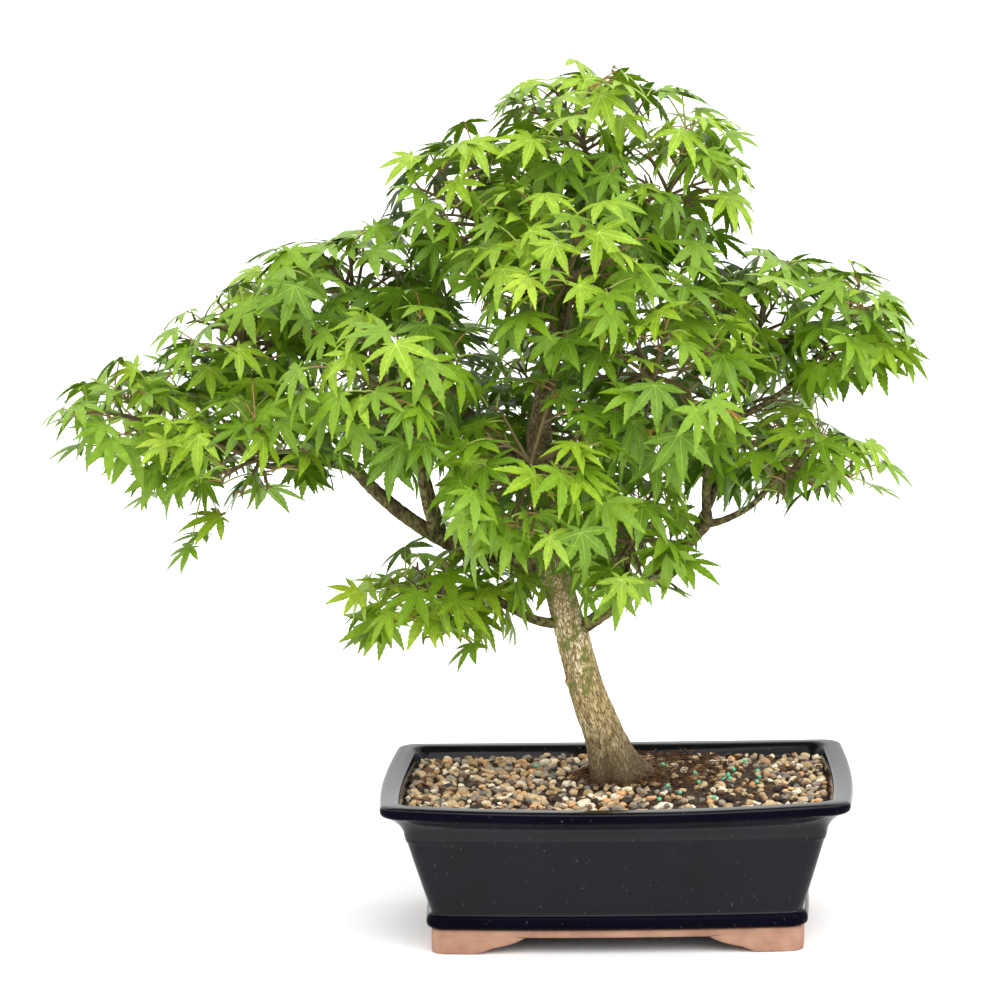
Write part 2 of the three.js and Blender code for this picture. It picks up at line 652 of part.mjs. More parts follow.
// A leaf at a random place on the twigs. Its stalk and its blade lie in one upright plane,
// and point out of the mass. The blade hangs less, and its stalk rises more, at the top.
function chooseLeaf({ mass, random, twigs }) {
  const twig = twigs[Math.floor(random() * twigs.length)];
  const seat = twig.pointAt(mix(twig.bare, BARE.end, random()));
  const outward = seat.clone().sub(mass.middle).divide(mass.reach);
  const stray = new THREE.Vector3(LEAF_STRAY, 0, 0).applyAxisAngle(UP, 2 * Math.PI * random());
  const level = new THREE.Vector3(outward.x, outward.y, 0).add(stray).normalize();
  const rise = degrees(mix(...LEAF_POSE.rise, random()) + TOP_POSE.rise * outward.z);
  const fall = degrees(mix(...LEAF_POSE.fall, random()) - TOP_POSE.fall * outward.z);
  const size = mix(...LEAF.size, random());
  const stalk = level.clone().multiplyScalar(Math.cos(rise)).addScaledVector(UP, Math.sin(rise));
  const forward = level.clone().multiplyScalar(Math.cos(fall)).addScaledVector(UP, -Math.sin(fall));
  const normal = level.clone().multiplyScalar(Math.sin(fall)).addScaledVector(UP, Math.cos(fall));
  normal.applyAxisAngle(forward, degrees(mix(-LEAF_POSE.roll, LEAF_POSE.roll, random())));
  const blade = LEAF.blade * size;
  const heart = seat.clone().addScaledVector(stalk, mix(...LEAF.stalk, random()) * size);
  const centre = heart.clone().addScaledVector(forward, LEAF_ZONE.middle * blade);
  return { root: seat.addScaledVector(stalk, -LEAF_SUNK), heart, forward, normal, blade, centre };
}

// Whether a leaf lies near enough to the outside of its mass, and far enough from the other leaves.
// Both rules grow milder with "patience", which goes from 0 at the first try to 1 at the last.
function isSpread({ mass, neighbours, leaves }, leaf, patience) {
  const outward = leaf.centre.clone().sub(mass.middle);
  const far = outward.length() / roomTowards(mass, outward.clone().normalize(), neighbours);
  if (far < mix(LEAF_ZONE.inner, LEAF_ZONE.core, patience) || far > LEAF_ZONE.outer) return false;
  const spacing = mix(...LEAF_SPACING, patience);
  return leaves.every((other) => other.centre.distanceTo(leaf.centre) >= spacing);
}

// Whether a leaf's solid touches no limb and no other leaf, and grows from exactly one twig.
function isHeld({ isFree, leaves, parts }, solid) {
  if (leaves.some((other) => touches(solid, other.solid)) || !isFree(solid)) return false;
  return parts.filter((part) => touches(solid, part)).length === 1;
}

function growLeaves(site, count) {
  for (let k = 0; k < count; k += 1) {
    for (let attempt = 0; attempt < LEAF_TRIES; attempt += 1) {
      const leaf = chooseLeaf(site);
      if (!isSpread(site, leaf, attempt / LEAF_TRIES)) continue;
      const outline = leafOutline(leaf);
      if (!outline.every((point) => inSpace(site.mass, point, site.neighbours))) continue;
      const solid = leafSolid(leaf, outline);
      if (!isHeld(site, solid)) continue;
      site.leaves.push({ centre: leaf.centre, solid });
      break;
    }
  }
}

// One mass: a stem, shoots that leave it towards all sides, and leaves whose stalks stand on them.
function growMass(mass, stem, stems, seed) {
  const near = limbsNear(mass, stems);
  const site = {
    mass,
    stem,
    neighbours: neighboursOf(mass, stems.map((entry) => entry.mass)),
    random: seeded(seed),
    isFree: (solid) => near.every((limb) => !touches(solid, limb.grown)),
    parts: [cutClear(stem.solid, near)],
    twigs: [{ pointAt: stem.pointAt, bare: BARE.stem }],
    leaves: [],
  };
  const area = Math.pow(mass.reach.x * mass.reach.y * mass.reach.z, 2 / 3);
  const wanted = Math.round(area / AREA_PER_LEAF);
  growShoots(site, Math.max(3, Math.round(wanted / LEAVES_PER_SHOOT)));
  growLeaves(site, wanted);
  const pieces = [...site.parts, ...site.leaves.map((leaf) => leaf.solid)];
  return wholePiece(pieces.reduce((whole, piece) => whole.add(piece)));
}

function makeFoliage() {
  const masses = MASSES.map(({ name, middle, reach, on }) => {
    return { name, middle: vector(middle), reach: vector(reach), on };
  });
  const stems = masses.map((mass) => ({ mass, stem: growStem(mass) }));
  stems.forEach(({ mass, stem }, k) => {
    addPiece(`foliage_${mass.name}`, growMass(mass, stem, stems, 911 + 37 * k), LEAF_GREEN);
  });
}

makePot();
makeBand();
makeFeet();
makeSoil();
makeGravel();
makeTrunk();
makeBoughs();
makeFoliage();

const box = new THREE.Box3().setFromObject(plant);
plant.position.set(-(box.min.x + box.max.x) / 2, -(box.min.y + box.max.y) / 2, -box.min.z);

export default plant;
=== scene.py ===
# %% [markdown]
# # A potted Japanese maple, step by step
#
# The plant is a Japanese maple that was trained as a bonsai: one leaning trunk, boughs that spread
# in tiers, and airy masses of lobed leaves, in a dark glazed pot on unglazed feet.
# A solid model of it already holds every size and place. Each piece made here goes where that model
# says, so nothing has to be fitted by eye.
# The work goes from the bottom up: pot, feet, gravel, trunk, boughs, twigs, leaves, then light.

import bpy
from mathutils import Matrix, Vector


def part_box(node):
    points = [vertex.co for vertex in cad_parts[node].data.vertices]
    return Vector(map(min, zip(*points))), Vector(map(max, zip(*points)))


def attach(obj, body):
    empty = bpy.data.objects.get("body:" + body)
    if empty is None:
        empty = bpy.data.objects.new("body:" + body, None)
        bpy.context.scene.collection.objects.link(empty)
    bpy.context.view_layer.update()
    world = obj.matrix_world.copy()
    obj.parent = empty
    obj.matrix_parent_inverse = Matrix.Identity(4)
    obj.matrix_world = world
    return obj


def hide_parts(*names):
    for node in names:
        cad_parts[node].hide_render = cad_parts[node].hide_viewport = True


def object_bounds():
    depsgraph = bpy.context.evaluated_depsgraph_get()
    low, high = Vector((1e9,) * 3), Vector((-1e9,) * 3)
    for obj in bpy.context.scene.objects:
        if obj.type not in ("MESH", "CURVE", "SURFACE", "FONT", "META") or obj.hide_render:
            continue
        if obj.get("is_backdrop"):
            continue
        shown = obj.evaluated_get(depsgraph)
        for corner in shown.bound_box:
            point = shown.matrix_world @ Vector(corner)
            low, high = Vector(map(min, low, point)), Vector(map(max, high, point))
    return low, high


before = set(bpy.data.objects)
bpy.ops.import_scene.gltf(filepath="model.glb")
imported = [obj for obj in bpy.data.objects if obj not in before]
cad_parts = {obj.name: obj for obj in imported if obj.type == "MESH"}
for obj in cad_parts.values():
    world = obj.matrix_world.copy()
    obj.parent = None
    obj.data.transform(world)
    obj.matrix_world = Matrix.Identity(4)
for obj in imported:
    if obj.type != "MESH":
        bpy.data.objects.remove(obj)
CAD_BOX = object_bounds()
print("the solid model has", len(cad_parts), "nodes")
print("it fills", [round(high - low, 3) for low, high in zip(*CAD_BOX)], "m")

# %% [markdown]
# ## Units and places
#
# Blender works in metres. A gardener or a potter thinks in millimetres, so the tables below are in
# millimetres, measured from the middle of the pot's footprint on the table.
# One helper turns such points into metres in the model's own frame, and nothing else needs to know.

# %% Units and places
import itertools
import math

import bmesh
import bpy
import numpy as np
from mathutils import Matrix, Vector, noise

MM = 0.001
NOISE_SEED = 5
POT_LOW, POT_HIGH = (np.array(corner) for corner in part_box("pot"))
HOME = (POT_LOW + POT_HIGH) / 2 * np.array([1, 1, 0])
# Noise vectors start from the clock, unless they get a seed that makes every run the same.
noise.seed_set(NOISE_SEED)
DRAW = {"factor": 16807, "modulus": 2147483647}
SEEDS = {"stones": 77, "gravel": 4021, "laying": 88, "fibres": 61, "leaves": 515, "crown": 911, "edge": 733}


def seeded(seed):
    """Random numbers from 0 to 1 that repeat for the same seed, by the same rule as the solid model."""
    state = seed

    def draw():
        nonlocal state
        state = state * DRAW["factor"] % DRAW["modulus"]
        return state / DRAW["modulus"]

    return draw


def mix(start, end, share):
    return start + (end - start) * share


def smoothstep(value, low, high):
    share = np.clip((value - low) / (high - low), 0, 1)
    return share * share * (3 - 2 * share)


def stray(random, width):
    """A random number on either side of zero, within this width."""
    return width * (random() - 0.5)


def fractal_at(points, scale, smooth, octaves, shift=(0, 0, 0), finer=2.0):
    """Fractal noise at each point, about -1 to 1. Each octave is finer than the one before."""
    places = (Vector(point) * scale + Vector(shift) for point in points)
    return np.array([noise.fractal(place, smooth, finer, octaves) for place in places])


print("the pot's middle is at", HOME.round(4), "m in the model's frame")

# %% [markdown]
# ## Joined meshes from arrays
#
# A leaf, a pebble or a twig is tiny, and the plant has thousands. As thousands of objects they would
# be slow, and instances are lost when the model is saved for other programs.
# So the small shapes are collected in a bundle of arrays, and each bundle becomes one mesh in a
# single step. A bundle also remembers which finish each triangle wears.

# %% Bundles and pieces
class Bundle:
    """Many small shapes on their way into one mesh."""

    def __init__(self):
        self.points, self.faces, self.tints, self.count = [], [], [], 0

    def add(self, points, faces, tint=0):
        self.points.append(points)
        self.faces.append(faces + self.count)
        self.tints.append(np.full(len(faces), tint))
        self.count += len(points)

    def arrays(self):
        return np.vstack(self.points), np.vstack(self.faces), np.concatenate(self.tints)


def add_piece(name, points, faces, finishes, slot, replaces=(), smooth=True, tints=None):
    """One mesh object from points in millimetres. It rides on the plant's only body."""
    faces = np.asarray(faces, dtype=np.int32)
    mesh = bpy.data.meshes.new(name)
    mesh.vertices.add(len(points))
    mesh.vertices.foreach_set("co", (np.asarray(points) * MM + HOME).astype(np.float32).ravel())
    mesh.loops.add(faces.size)
    mesh.loops.foreach_set("vertex_index", faces.ravel())
    mesh.polygons.add(len(faces))
    mesh.polygons.foreach_set("loop_start", np.arange(0, faces.size, faces.shape[1], dtype=np.int32))
    for finish in finishes:
        mesh.materials.append(finish)
    if tints is not None:
        mesh.polygons.foreach_set("material_index", np.asarray(tints, dtype=np.int32))
    mesh.polygons.foreach_set("use_smooth", np.full(len(faces), smooth))
    mesh.update(calc_edges=True)
    piece = bpy.data.objects.new(name, mesh)
    bpy.context.scene.collection.objects.link(piece)
    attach(piece, "root")
    if replaces:
        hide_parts(*replaces)
    print(f"{name}: {len(faces) * (faces.shape[1] - 2)} triangles")
    return piece


def grid_faces(rows, columns):
    """Quads between the rows of a grid whose columns close on themselves."""
    row, column = np.meshgrid(np.arange(rows - 1), np.arange(columns), indexing="ij")
    after = (column + 1) % columns
    low, high = row * columns, (row + 1) * columns
    return np.stack([low + column, low + after, high + after, high + column], axis=-1).reshape(-1, 4)


def halves(quads):
    """The two triangles of each quad."""
    return np.vstack([quads[:, [0, 1, 2]], quads[:, [0, 2, 3]]])


# %% [markdown]
# ## Finishes from nodes
#
# Every finish is a small network: a Principled shader whose plain values are typed on its own
# sockets, fed by noise where the real surface varies.
# Most things here are of one kind: one noise gives the colour and the roughness, a finer one the bump.
# So one function builds that network, and only glaze and bark get nodes of their own.
# Patterns use object coordinates, which are metres here, so a noise scale of 400 repeats every 2.5 mm.

# %% Helpers for finishes
def new_finish(name, **values):
    """A material with one Principled shader. Values are set on the shader's own sockets."""
    finish = bpy.data.materials.new(name)
    finish.use_nodes = True
    shader = finish.node_tree.nodes["Principled BSDF"]
    for socket, value in values.items():
        shader.inputs[socket.replace("_", " ")].default_value = value
    return finish, shader


def add_node(finish, kind, sockets, **settings):
    """A node of this kind. A socket is given a value, or another node's socket to be linked to."""
    node = finish.node_tree.nodes.new("ShaderNode" + kind)
    for name, value in settings.items():
        setattr(node, name, value)
    for key, value in sockets.items():
        if isinstance(value, bpy.types.NodeSocket):
            finish.node_tree.links.new(value, node.inputs[key])
        else:
            node.inputs[key].default_value = value
    return node


def places(finish, stretch=(1, 1, 1)):
    """Object coordinates, squeezed along an axis to stretch what is drawn there."""
    coordinates = add_node(finish, "TexCoord", {})
    return add_node(finish, "Mapping", {"Vector": coordinates.outputs["Object"], "Scale": stretch}).outputs[0]


def noise_at(finish, scale, detail=3.0, stretch=(1, 1, 1), roughness=0.55):
    sockets = {"Vector": places(finish, stretch), "Scale": scale, "Detail": detail, "Roughness": roughness}
    return add_node(finish, "TexNoise", sockets).outputs["Fac"]


def paint(*screen_colour):
    """A colour as a screen shows it, 0 to 255, turned into the linear values that light needs."""
    shares = [value / 255 for value in screen_colour]
    return tuple(s / 12.92 if s <= 0.04045 else ((s + 0.055) / 1.055) ** 2.4 for s in shares)


def ramp(finish, factor, stops):
    """A colour ramp. Each stop is (place, colour)."""
    node = add_node(finish, "ValToRGB", {"Fac": factor})
    elements = node.color_ramp.elements
    for index, (place, colour) in enumerate(stops):
        element = elements[index] if index < 2 else elements.new(place)
        element.position = place
        element.color = (*colour, 1)
    return node.outputs["Color"]


def spread(finish, factor, low, high):
    """A number that varies with the factor between two values."""
    return add_node(finish, "MapRange", {"Value": factor, "To Min": low, "To Max": high}).outputs[0]


def blend(finish, share, first, second, kind="MIX"):
    """Two colours, mixed by a share, added or multiplied. Each is a socket or a plain colour."""
    first, second = ((*colour, 1) if isinstance(colour, tuple) else colour for colour in (first, second))
    sockets = {0: share, 6: first, 7: second}
    return add_node(finish, "Mix", sockets, data_type="RGBA", blend_type=kind).outputs[2]


def link(finish, source, shader, socket):
    finish.node_tree.links.new(source, shader.inputs[socket])


def add_bump(finish, shader, height, strength, depth_mm):
    sockets = {"Height": height, "Strength": strength, "Distance": depth_mm * MM}
    link(finish, add_node(finish, "Bump", sockets).outputs[0], shader, "Normal")


def surface(name, stops, grain, bump, rough, shine):
    """A finish from a colour ramp, a noise (scale, detail), a bump (scale, detail, strength, depth in mm)
    and a roughness, either one value or a pair that the noise varies between."""
    varied = isinstance(rough, tuple)
    finish, shader = new_finish(name, Roughness=max(rough) if varied else rough, Specular_IOR_Level=shine)
    pattern = noise_at(finish, *grain)
    link(finish, ramp(finish, pattern, stops), shader, "Base Color")
    if varied:
        link(finish, spread(finish, pattern, *rough), shader, "Roughness")
    add_bump(finish, shader, noise_at(finish, *bump[:2]), *bump[2:])
    return finish


def toned(colour, low, high, stops_at=(0.3, 0.5, 0.72)):
    """Stops of a ramp from a darker to a lighter tone of one colour."""
    return [(place, tuple(min(1, tone * c) for c in colour)) for place, tone in zip(stops_at, (low, 1, high))]


print("half of a screen's white is", round(paint(127.5)[0], 3), "of the light of white")

# %% [markdown]
# ## The pot's plan
#
# Seen from above the pot is a soft rectangle: the sides bow out a little and the corners are round.
# A rectangle with a bevel would have dead flat sides, and the gloss would give that away at once.
# So each ring of the pot is worked out: corner arcs and straight runs, then both bowed by a parabola.
# The same function draws every ring, from the foot to the rim.

# %% Plan of the pot
RIM = {"half_length": 175, "half_depth": 125, "height": 111, "lip": 14.4, "corner_lift": 2.9}
FOOT = {"half_length": 138, "half_depth": 98.5, "height": 12.5, "wall": 13}
BAND_TOP = 18.5
BOW = {"end": 5.9, "side": 12.4}
CORNER_RADIUS = 12
PLAN_STEPS = {"corner": 10, "end": 22, "side": 30}


def plan_ring(height, inset_end, inset_side, lift=0.0):
    """Points of one ring, anticlockwise from the right-hand end's back corner."""
    half_length = RIM["half_length"] - inset_end
    half_depth = RIM["half_depth"] - inset_side
    radius = CORNER_RADIUS * half_depth / RIM["half_depth"]
    size = (half_length / RIM["half_length"]) ** 3
    ring = []
    for quarter in range(4):
        sign_x = 1 if quarter in (0, 3) else -1
        sign_y = 1 if quarter < 2 else -1
        for step in range(PLAN_STEPS["corner"] + 1):
            angle = math.radians(90 * (quarter + step / PLAN_STEPS["corner"]))
            x = sign_x * (half_length - radius) + radius * math.cos(angle)
            y = sign_y * (half_depth - radius) + radius * math.sin(angle)
            ring.append((x, y))
        x, y = ring[-1]
        along_x = quarter % 2 == 0
        steps = PLAN_STEPS["side" if along_x else "end"]
        for step in range(1, steps):
            share = 1 - 2 * step / steps
            ring.append((x * share, y) if along_x else (x, y * share))
    x, y = np.array(ring).T
    share_x, share_y = x / half_length, y / half_depth
    bowed_x = x - BOW["end"] * size * share_x * share_y**2
    bowed_y = y - BOW["side"] * size * share_y * share_x**2
    return np.stack([bowed_x, bowed_y, height + lift * (share_x * share_y) ** 2], axis=1)


print("a ring of the pot has", len(plan_ring(0, 0, 0)), "points")

# %% [markdown]
# ## The glazed body
#
# The pot was pressed in a mould and glazed: a rolled lip on a hollow cove, a plain wall with one faint
# step, and a round bead above the feet. The table is its profile, read from the bead up to the lip and
# down inside, as [height, inset of the ends, inset of the long sides].
# A lathe can't make it, because it isn't round, so rings of the plan are stacked along the profile.
# A smooth curve through the table gives the soft edges that thick glaze leaves.

# %% The glazed body
GLAZE_PROFILE = [
    (BAND_TOP - 0.4, 38.4, 27.9), (18.8, 36.6, 26.1), (20.2, 34.6, 24.1), (22, 33.7, 23.2), (24.2, 33.5, 23),
    (26.4, 33.9, 23.4), (28.2, 35, 24.5), (29.6, 36.4, 25.9), (31, 36.8, 26.3), (34, 36, 25.6),
    (50, 30.8, 23.2), (70, 24.3, 20), (83, 20, 18), (84.2, 19.2, 17.3), (88, 18, 16.9),
    (92, 17.2, 16.4), (96, 14.6, 14), (99, 10.6, 10.2), (101.2, 6.4, 6.2), (103, 2.2, 2.1),
    (104.6, 0.5, 0.5), (106.5, 0, 0), (108.6, 0.2, 0.2), (110.2, 1.3, 1.3), (RIM["height"], 3.6, 3.6),
    (RIM["height"] + 0.1, 8, 8), (RIM["height"] - 0.1, 12.8, 12.8), (RIM["height"] - 0.9, 14.4, 14.4),
    (108, 16.2, 16.2), (102, 19, 18.8), (96, 22, 21.6), (36, 45, 35.4), (31, 48, 38), (30, 52, 42),
]
KNOT_STEPS = 3
OUTER_KNOTS = 22
LIFTED = (92, 106)
WANDER = {"height": 0.5, "scale": 0.06}
FLOOR_RINGS = [0.6, 0.2]


def smooth_profile(knots, steps):
    """A centripetal curve through the knots, which keeps straight runs straight."""
    knots = np.array(knots, dtype=float)
    ends = [2 * knots[0] - knots[1], *knots, 2 * knots[-1] - knots[-2]]
    out = []
    for before, start, end, after in zip(ends, ends[1:], ends[2:], ends[3:]):
        pairs = ((before, start), (start, end), (end, after))
        first, gap, last = (max(np.linalg.norm(b - a), 1e-6) ** 0.5 for a, b in pairs)
        slope_in = (start - before) / first - (end - before) / (first + gap) + (end - start) / gap
        slope_out = (end - start) / gap - (after - start) / (gap + last) + (after - end) / last
        slope_in, slope_out = slope_in * gap, slope_out * gap
        for step in range(steps):
            t = step / steps
            bend = (2 * start - 2 * end + slope_in + slope_out) * t**3
            bend = bend + (3 * end - 3 * start - 2 * slope_in - slope_out) * t**2
            out.append(bend + slope_in * t + start)
    return np.array([*out, knots[-1]])


def corner_lift(height):
    return RIM["corner_lift"] * smoothstep(height, *LIFTED)


profile = smooth_profile(GLAZE_PROFILE, KNOT_STEPS)
rings = [plan_ring(z, end, side, corner_lift(z)) for z, end, side in profile]
# The glaze was wiped off by hand above the feet, so its lower edge wanders.
for point in rings[0]:
    point[2] += WANDER["height"] * noise.noise(Vector(point) * WANDER["scale"])
pot_floor = rings[-1]
rings += [pot_floor * (share, share, 1) for share in FLOOR_RINGS]
print("the pot is drawn with", len(rings), "rings")

# %% [markdown]
# ## Navy glaze
#
# Glaze is glass over clay. It looks nearly black and a little blue, and it mirrors the white room.
# The lip and the bead get a darker copy of it with a weaker gloss, as painted shade and dark reflections.
# The cove under the lip gets a copy with a stronger gloss, as a painted reflection that brightens it.
# One glossy finish would make the pot look like plastic. So there are three, dealt out by height, and
# each has clouds in its colour, scuffs in its gloss, and specks of dust in short upright streaks.

# %% Glaze, with painted shade and a painted reflection
# Painted shade: a darker, duller glaze on the lip and the bead, at these heights.
SHADED_GLAZE_BANDS = [(19, 29), (102.6, 110.6)]
# Painted reflection: a glossier glaze in the cove, at these heights.
REFLECTING_GLAZE_BAND = (86, 102.6)
# Each as (name, shine, tone, blue).
GLAZES = [
    ("navy_glaze", 0.17, 0.007, 0.01), ("glaze_with_painted_shade", 0.02, 0.0022, 0.007),
    ("glaze_with_painted_reflection", 0.24, 0.007, 0.01),
]
DUST = {"scale": 620, "stretch": (1, 1, 0.3), "from": 0.7, "to": 0.78, "grey": 0.09}
SCUFFS = {"scale": 900, "stretch": (1, 1, 0.06), "rough": (0.03, 0.3)}


def glaze_finish(name, shine, tone, blue):
    """Navy glaze whose colour clouds a little and whose gloss is worn in streaks."""
    finish, shader = new_finish(name, Roughness=0.1, IOR=1.5, Specular_IOR_Level=shine)
    stops = [(0.3, (0.55 * tone, 0.5 * tone, 0.5 * blue)), (0.7, (tone, 0.93 * tone, blue))]
    navy = ramp(finish, noise_at(finish, 14, 4), stops)
    specks = noise_at(finish, DUST["scale"], 2, DUST["stretch"])
    dust = ramp(finish, specks, [(DUST["from"], (0, 0, 0)), (DUST["to"], (DUST["grey"],) * 3)])
    link(finish, blend(finish, 1.0, navy, dust, "ADD"), shader, "Base Color")
    scuffs = noise_at(finish, SCUFFS["scale"], 2, SCUFFS["stretch"])
    worn = add_node(finish, "Math", {0: noise_at(finish, 25, 5), 1: scuffs}, operation="MULTIPLY").outputs[0]
    link(finish, spread(finish, worn, *SCUFFS["rough"]), shader, "Roughness")
    add_bump(finish, shader, noise_at(finish, 160, 3), 0.25, 0.12)
    return finish


glaze_of_row = np.zeros(len(rings) - 1, dtype=int)
for row, height in enumerate(profile[:OUTER_KNOTS * KNOT_STEPS + 1, 0]):
    if any(low < height < high for low, high in SHADED_GLAZE_BANDS):
        glaze_of_row[row] = 1
    elif REFLECTING_GLAZE_BAND[0] < height < REFLECTING_GLAZE_BAND[1]:
        glaze_of_row[row] = 2
glazes = [glaze_finish(*glaze) for glaze in GLAZES]
body_faces = grid_faces(len(rings), len(pot_floor))
tints = np.repeat(glaze_of_row, len(pot_floor))
add_piece("glazed_body", np.vstack(rings), body_faces, glazes, "glaze", ["pot"], tints=tints)

# %% [markdown]
# ## The unglazed band and feet
#
# Below the bead the clay is bare: a band all round, then four feet with a scrolled edge, like clouds.
# The feet are one wall that follows the plan and whose lower edge rises in a scroll towards the middle
# of each side. A Boolean would cut that in one go, but leaves knife edges.
# Here the wall is built section by section, each section a rounded outline, so the edges stay soft.

# %% The band and the feet
SCROLL = [
    (0, 0), (36, 0), (37.5, 0.8), (39, 2.8), (42, 3.9), (45, 4.2), (48, 4.4), (51, 5), (54, 6), (57, 6.8),
    (61, 7.8), (65, 9.4), (68.5, 11.2), (71, FOOT["height"] + 0.2),
]
EDGE_ROUND = [(0, 3.4), (0, 1.6), (0.35, 0.5), (1.3, 0)]
INTO_BAND = 1.1
THINNEST = 0.05
# The band, from its underside up, as (height, inset from the feet's outline).
BAND_PROFILE = [(12.5, 30), (12.5, 3), (12.7, 0.8), (13.6, 0), (17.2, 0.2), (18, 0.9), (18.4, 3.5)]
BAND_MIDDLE = 0.3


def foot_plan(inset=0.0, height=0):
    """The outline of the feet, or a ring further in or higher up."""
    inset_end = RIM["half_length"] - FOOT["half_length"] + inset
    return plan_ring(height, inset_end, RIM["half_depth"] - FOOT["half_depth"] + inset)


def scroll_height(x, y):
    """How high the lower edge is: the distance to the nearest corner gives the place on the scroll."""
    from_end = FOOT["half_length"] - abs(x)
    from_side = FOOT["half_depth"] - abs(y)
    return float(np.interp(max(from_end, from_side), *zip(*SCROLL)))


outer, inner = foot_plan(), foot_plan(FOOT["wall"])
widths = np.linalg.norm(inner - outer, axis=1)
lower = np.array([scroll_height(x, y) for x, y, _ in outer])
sections = []
for start, inward, width, z in zip(outer, (inner - outer) / widths[:, None], widths, lower):
    room = max(FOOT["height"] - z, 0.0)
    depths = [(inset, min(rise, room)) for inset, rise in EDGE_ROUND]
    top = room + min(INTO_BAND, room)
    outline = [(0, top), *depths, *[(width - inset, rise) for inset, rise in reversed(depths)], (width, top)]
    sections.append([start + inward * inset + np.array([0, 0, z + rise]) for inset, rise in outline])
sections = np.array(sections).transpose(1, 0, 2)
feet_faces = grid_faces(len(sections), len(outer))
column = feet_faces[:, 0] % len(outer)
tall = FOOT["height"] - lower > THINNEST
solid = tall[column] | tall[(column + 1) % len(outer)]
clay_tints = [(0.3, paint(138, 102, 83)), (0.5, paint(160, 122, 100)), (0.72, paint(176, 140, 118))]
CLAY_BUMP = (1400, 4, 0.5, 0.25)
BISQUE = surface("bare_clay", clay_tints, (45, 6), CLAY_BUMP, (0.72, 0.95), 0.3)
add_piece(
    "bare_feet", sections.reshape(-1, 3), feet_faces[solid], [BISQUE], "bisque",
    [f"foot_{depth}_{hand}" for depth in ("front", "back") for hand in ("left", "right")],
)
band = [foot_plan(inset, z) for z, inset in BAND_PROFILE]
band.insert(0, band[0] * (BAND_MIDDLE, BAND_MIDDLE, 1))
# Painted shade under the pot: the band's first two rows of faces, its underside, are a dark clay.
underside_shade_tints = [(0.3, paint(34, 24, 18)), (0.7, paint(66, 46, 34))]
UNDERSIDE_SHADE = surface("clay_painted_shade", underside_shade_tints, (60, 5), CLAY_BUMP, 0.95, 0.1)
tints = np.repeat([1, 1, 0, 0, 0, 0, 0], len(outer))
band_faces = grid_faces(len(band), len(outer))
add_piece("bare_band", np.vstack(band), band_faces, [BISQUE, UNDERSIDE_SHADE], "bisque", ["foot_band"], tints=tints)

# %% [markdown]
# ## Soil between the stones
#
# Gravel is only a top dressing: dark soil lies under it and shows between the stones.
# The soil's own solid lies deeper, so a bumpy sheet follows the mound a little under the stones' tops.
# A displaced plane would need trimming to the pot's wall. So the sheet is drawn as rings of the pot's
# plan that shrink towards the middle, and fractal noise lifts them into crumbs.

# %% The bed under the gravel
MOUND = {"edge": 105, "middle": 106, "length": 150, "depth": 100, "flat": 0.3}
BED = {"inset": 18.4, "rings": 60, "innermost": 0.01, "below": 3.2, "crumbs": 1.5, "scale": 0.17}


def gravel_height(x, y):
    """The gravel's level: a low mound that falls towards the pot's wall."""
    outward = np.maximum(np.abs(x) / MOUND["length"], np.abs(y) / MOUND["depth"])
    slope = np.clip((outward - MOUND["flat"]) / (1 - MOUND["flat"]), 0, 1)
    return mix(MOUND["middle"], MOUND["edge"], slope)


wall = plan_ring(0, BED["inset"], BED["inset"])
bed = np.vstack([wall * share for share in np.linspace(1, BED["innermost"], BED["rings"])])
bed[:, 2] = gravel_height(bed[:, 0], bed[:, 1]) - BED["below"]
bed[:, 2] += BED["crumbs"] * fractal_at(bed, BED["scale"], 0.7, 4, finer=2.1)
soil_tints = [(0.3, paint(32, 24, 19)), (0.5, paint(62, 47, 36)), (0.66, paint(104, 80, 58))]
SOIL = surface("damp_soil", soil_tints, (330, 5), (330, 5, 0.9, 1.2), (0.8, 1), 0.2)
add_piece("soil_bed", bed, grid_faces(BED["rings"], len(wall)), [SOIL], "soil", ["gravel"])
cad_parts["soil"].data.materials.clear()
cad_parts["soil"].data.materials.append(SOIL)

# %% [markdown]
# ## Gravel
#
# The stones are 4 to 12 mm, tumbled but still angular, in beige, tan, grey, orange and brown.
# A physics drop would settle them well but slowly. Here each stone is a ball cut flat by random
# planes, and a few such shapes are turned and stretched for every stone.

# %% Shapes of stones
STONE_CUTS = {"count": 8, "depth": [0.36, 0.7], "shapes": 28, "facing": 0.05}


def ball(level):
    """Points and triangles of a ball made of equal triangles."""
    shape = bmesh.new()
    bmesh.ops.create_icosphere(shape, subdivisions=level, radius=1)
    points = np.array([vertex.co[:] for vertex in shape.verts])
    faces = np.array([[vertex.index for vertex in face.verts] for face in shape.faces])
    shape.free()
    return points, faces


def turned(random):
    """A random turn of the whole ball, as a 3 by 3 matrix."""
    axis = Vector([random() - 0.5 for _ in range(3)]).normalized()
    return np.array(Matrix.Rotation(2 * math.pi * random(), 3, axis))


BALL_POINTS, BALL_FACES = ball(2)


def stone_shape(random, points=BALL_POINTS):
    """A ball cut flat by random planes."""
    reach = np.ones(len(points))
    for _ in range(STONE_CUTS["count"]):
        facing = points @ turned(random)[0]
        cut = mix(*STONE_CUTS["depth"], random()) / np.maximum(facing, STONE_CUTS["facing"])
        reach = np.where(facing > STONE_CUTS["facing"], np.minimum(reach, cut), reach)
    return points * reach[:, None]


random = seeded(SEEDS["stones"])
STONE_SHAPES = [stone_shape(random) for _ in range(STONE_CUTS["shapes"])]
print(len(STONE_SHAPES), "shapes of", len(BALL_FACES), "faces")

# %% [markdown]
# ## Strewing the gravel
#
# The solid model has the largest stones, so these come first, by its own rule and at the same places.
# The small ones between them are strewn by throwing darts: a dart that lands too near an earlier stone
# is thrown away. On the right of the trunk the stones lie apart and the earth shows, in patches.
# A colour per stone would need a picture or an attribute. One plain finish for each kind of stone does
# it more simply, and every stone keeps its own.

